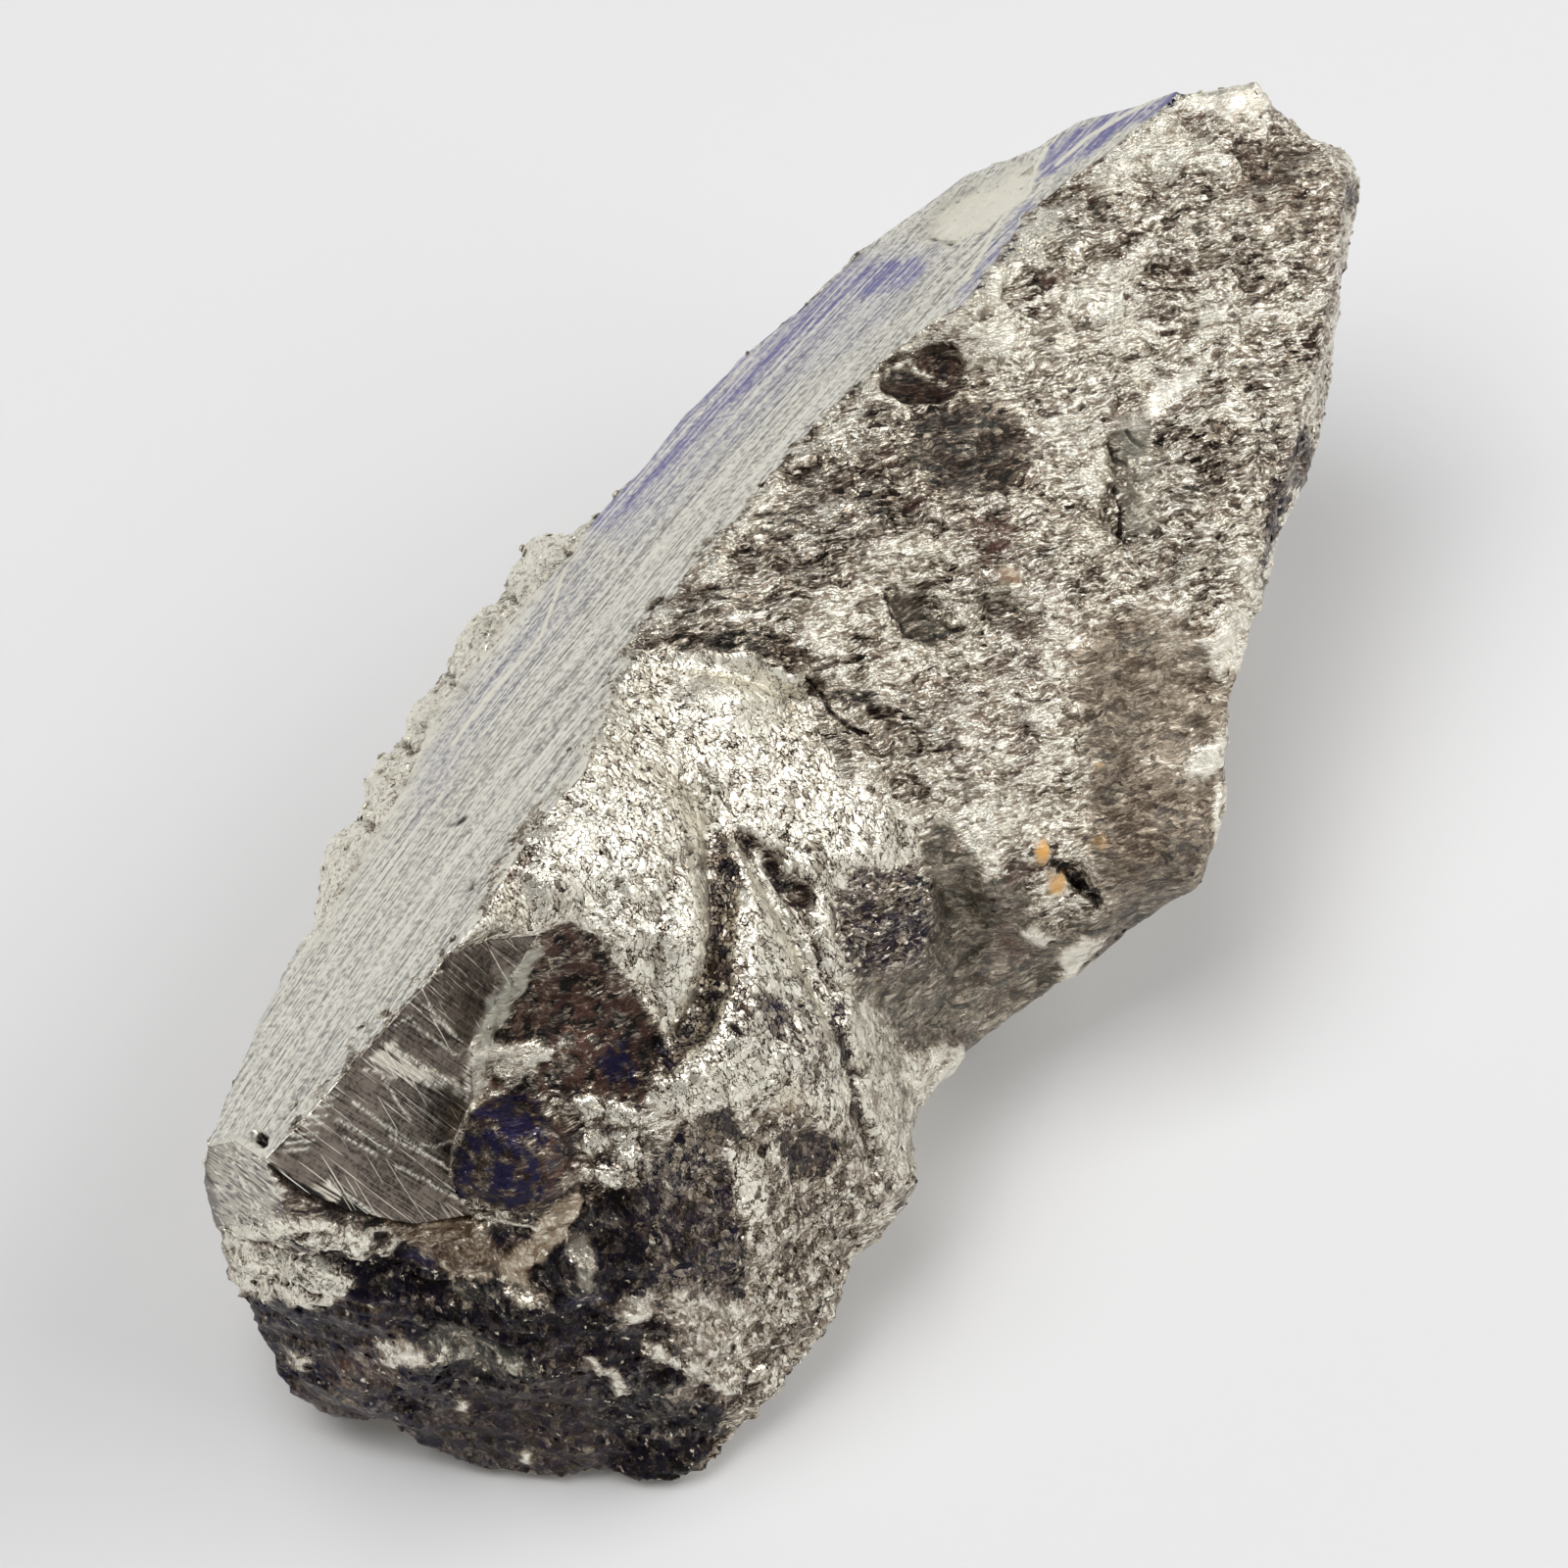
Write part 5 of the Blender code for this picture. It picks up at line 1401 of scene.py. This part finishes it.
pattern = crystal_grain()
GRAIN_FACES = len(pattern.data.polygons)
print("one crystal has", GRAIN_FACES, "triangles")

# %% Build the tree that scatters the grains
GRAIN_INPUTS = {
    "Spacing": 0.00040, "Most per square metre": 3.0e6, "Smallest": 0.10, "Largest": 0.26,
}
GRAIN_TILT = 0.45
FULL_TURN = 6.28
GRAIN_SEED = 11


def grain_tree(pattern, material):
    bench, skin_shape, size = open_tree("grain_scatter", GRAIN_INPUTS)
    points = bench.node("GeometryNodeDistributePointsOnFaces", {"distribute_method": "POISSON"}, {
        "Mesh": skin_shape, "Distance Min": size["Spacing"], "Seed": GRAIN_SEED,
        "Density Max": size["Most per square metre"], "Density Factor": mask(bench, "spark")})
    upright = Wire(bench, points.socket.node.outputs["Rotation"])
    wobble = bench.node("FunctionNodeRandomValue", {"data_type": "FLOAT_VECTOR"}, {
        "Min": (-GRAIN_TILT, -GRAIN_TILT, 0.0), "Max": (GRAIN_TILT, GRAIN_TILT, FULL_TURN),
        "Seed": GRAIN_SEED + 1})
    tilt = bench.node("FunctionNodeEulerToRotation", None, {"Euler": wobble})
    tilted = bench.node("FunctionNodeRotateRotation", {"rotation_space": "LOCAL"},
                        {0: upright, 1: tilt})
    chance = bench.node("FunctionNodeRandomValue", {"data_type": "FLOAT"},
                        {"Seed": GRAIN_SEED + 2}, 1)
    radius = size["Smallest"] + chance * chance * (size["Largest"] - size["Smallest"])
    crystal = bench.node("GeometryNodeObjectInfo", None, {"Object": pattern}, "Geometry")
    copies = bench.node("GeometryNodeInstanceOnPoints", None, {
        "Points": points, "Instance": crystal, "Rotation": tilted, "Scale": radius})
    real = bench.node("GeometryNodeRealizeInstances", None, {"Geometry": copies})
    return close_tree(bench, bench.node("GeometryNodeSetMaterial", None,
                                        {"Geometry": real, "Material": material}))


grain_scatter = grain_tree(pattern, broken_metal)

# %% Scatter the grains
MOST_GLINT = 1.5

spark = np.clip(fields["glint"] * broken_share, 0.0, MOST_GLINT) / MOST_GLINT
store(skin.data, "spark", spark * ((rest_share == 0.0) & (broken_share > 0.5)))
grain_data = apply_tree(skin, grain_scatter, GRAIN_INPUTS)
bpy.data.objects.remove(pattern)
keep_in_box(grain_data)
grains = in_scene("ore_grains", grain_data)
grain_data.polygons.foreach_set("use_smooth", np.zeros(len(grain_data.polygons), bool))
print("grains:", len(grain_data.polygons) // GRAIN_FACES, "crystals")

# %% [markdown]
# ## Floor and light
# A pale floor and soft lamps are what a mineral dealer's table has. Metal shows its form only when
# some of what it reflects is bright and some is not. So four large lamps stand apart, the walls are
# pale, the ceiling is dark, and the weakest lamp only wakes the sawn face.

# %% The floor
FLOOR_SIDE = 3.0
FLOOR_COLOUR = (0.85, 0.85, 0.85, 1.0)
FLOOR_ROUGHNESS = 0.9


def pale_floor():
    bpy.ops.mesh.primitive_plane_add(size=FLOOR_SIDE, location=(0.0, 0.0, 0.0))
    floor = bpy.context.object
    floor.name = "floor"
    material = bpy.data.materials.new("pale_floor")
    material.use_nodes = True
    shader = material.node_tree.nodes["Principled BSDF"]
    shader.inputs["Base Color"].default_value = FLOOR_COLOUR
    shader.inputs["Roughness"].default_value = FLOOR_ROUGHNESS
    floor.data.materials.append(material)
    print("floor, in m:", [round(side, 2) for side in floor.dimensions])


pale_floor()

# %% The lamps
# Name, azimuth and elevation in degrees, side in metres, power in watts
LAMPS = [
    ("key", -30.0, 72.0, 0.55, 5.0),
    ("right", 122.0, 46.0, 0.7, 3.0),
    ("back", 163.0, 24.0, 0.5, 1.6),
    ("left", -116.0, 18.0, 0.6, 0.32),
]
LAMP_DISTANCE = 0.9
LAMP_TARGET = Vector((0.0, 0.0, 0.02))


def soft_lamp(name, azimuth, elevation, size, power):
    """A square lamp in that direction from the stone, which faces the stone."""
    data = bpy.data.lights.new(name, "AREA")
    data.shape = "SQUARE"
    data.size = size
    data.energy = power
    lamp = in_scene(name, data)
    a, e = math.radians(azimuth), math.radians(elevation)
    back = Vector((math.sin(a) * math.cos(e), -math.cos(a) * math.cos(e), math.sin(e)))
    lamp.location = LAMP_TARGET + back * LAMP_DISTANCE
    lamp.rotation_euler = back.to_track_quat("Z", "Y").to_euler()


for lamp_row in LAMPS:
    soft_lamp(*lamp_row)
print("lamps:", [row[0] for row in LAMPS])

# %% The walls and the ceiling
WALL = (0.62, 0.62, 0.60, 1.0)
CEILING = (0.10, 0.10, 0.11, 1.0)
WALL_TOP = (0.10, 0.55)


def studio_air():
    """Pale walls all round and a darker ceiling."""
    world = bpy.data.worlds.new("studio")
    world.use_nodes = True
    bench = Bench(world.node_tree)
    direction = bench.node("ShaderNodeTexCoord", None, None, "Generated")
    height = bench.node("ShaderNodeSeparateXYZ", None, {0: direction}, "Z")
    colour = layered(bench, WALL, (height.step(*WALL_TOP), CEILING))
    bench.plug(world.node_tree.nodes["Background"], {"Color": colour})
    bpy.context.scene.world = world
    bpy.context.scene.view_settings.view_transform = "Standard"
    print("air:", world.name)


studio_air()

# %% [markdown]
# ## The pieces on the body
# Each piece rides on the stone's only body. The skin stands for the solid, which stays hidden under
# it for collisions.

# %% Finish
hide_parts(NODE)
for piece in (skin, grains):
    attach(piece, "root")
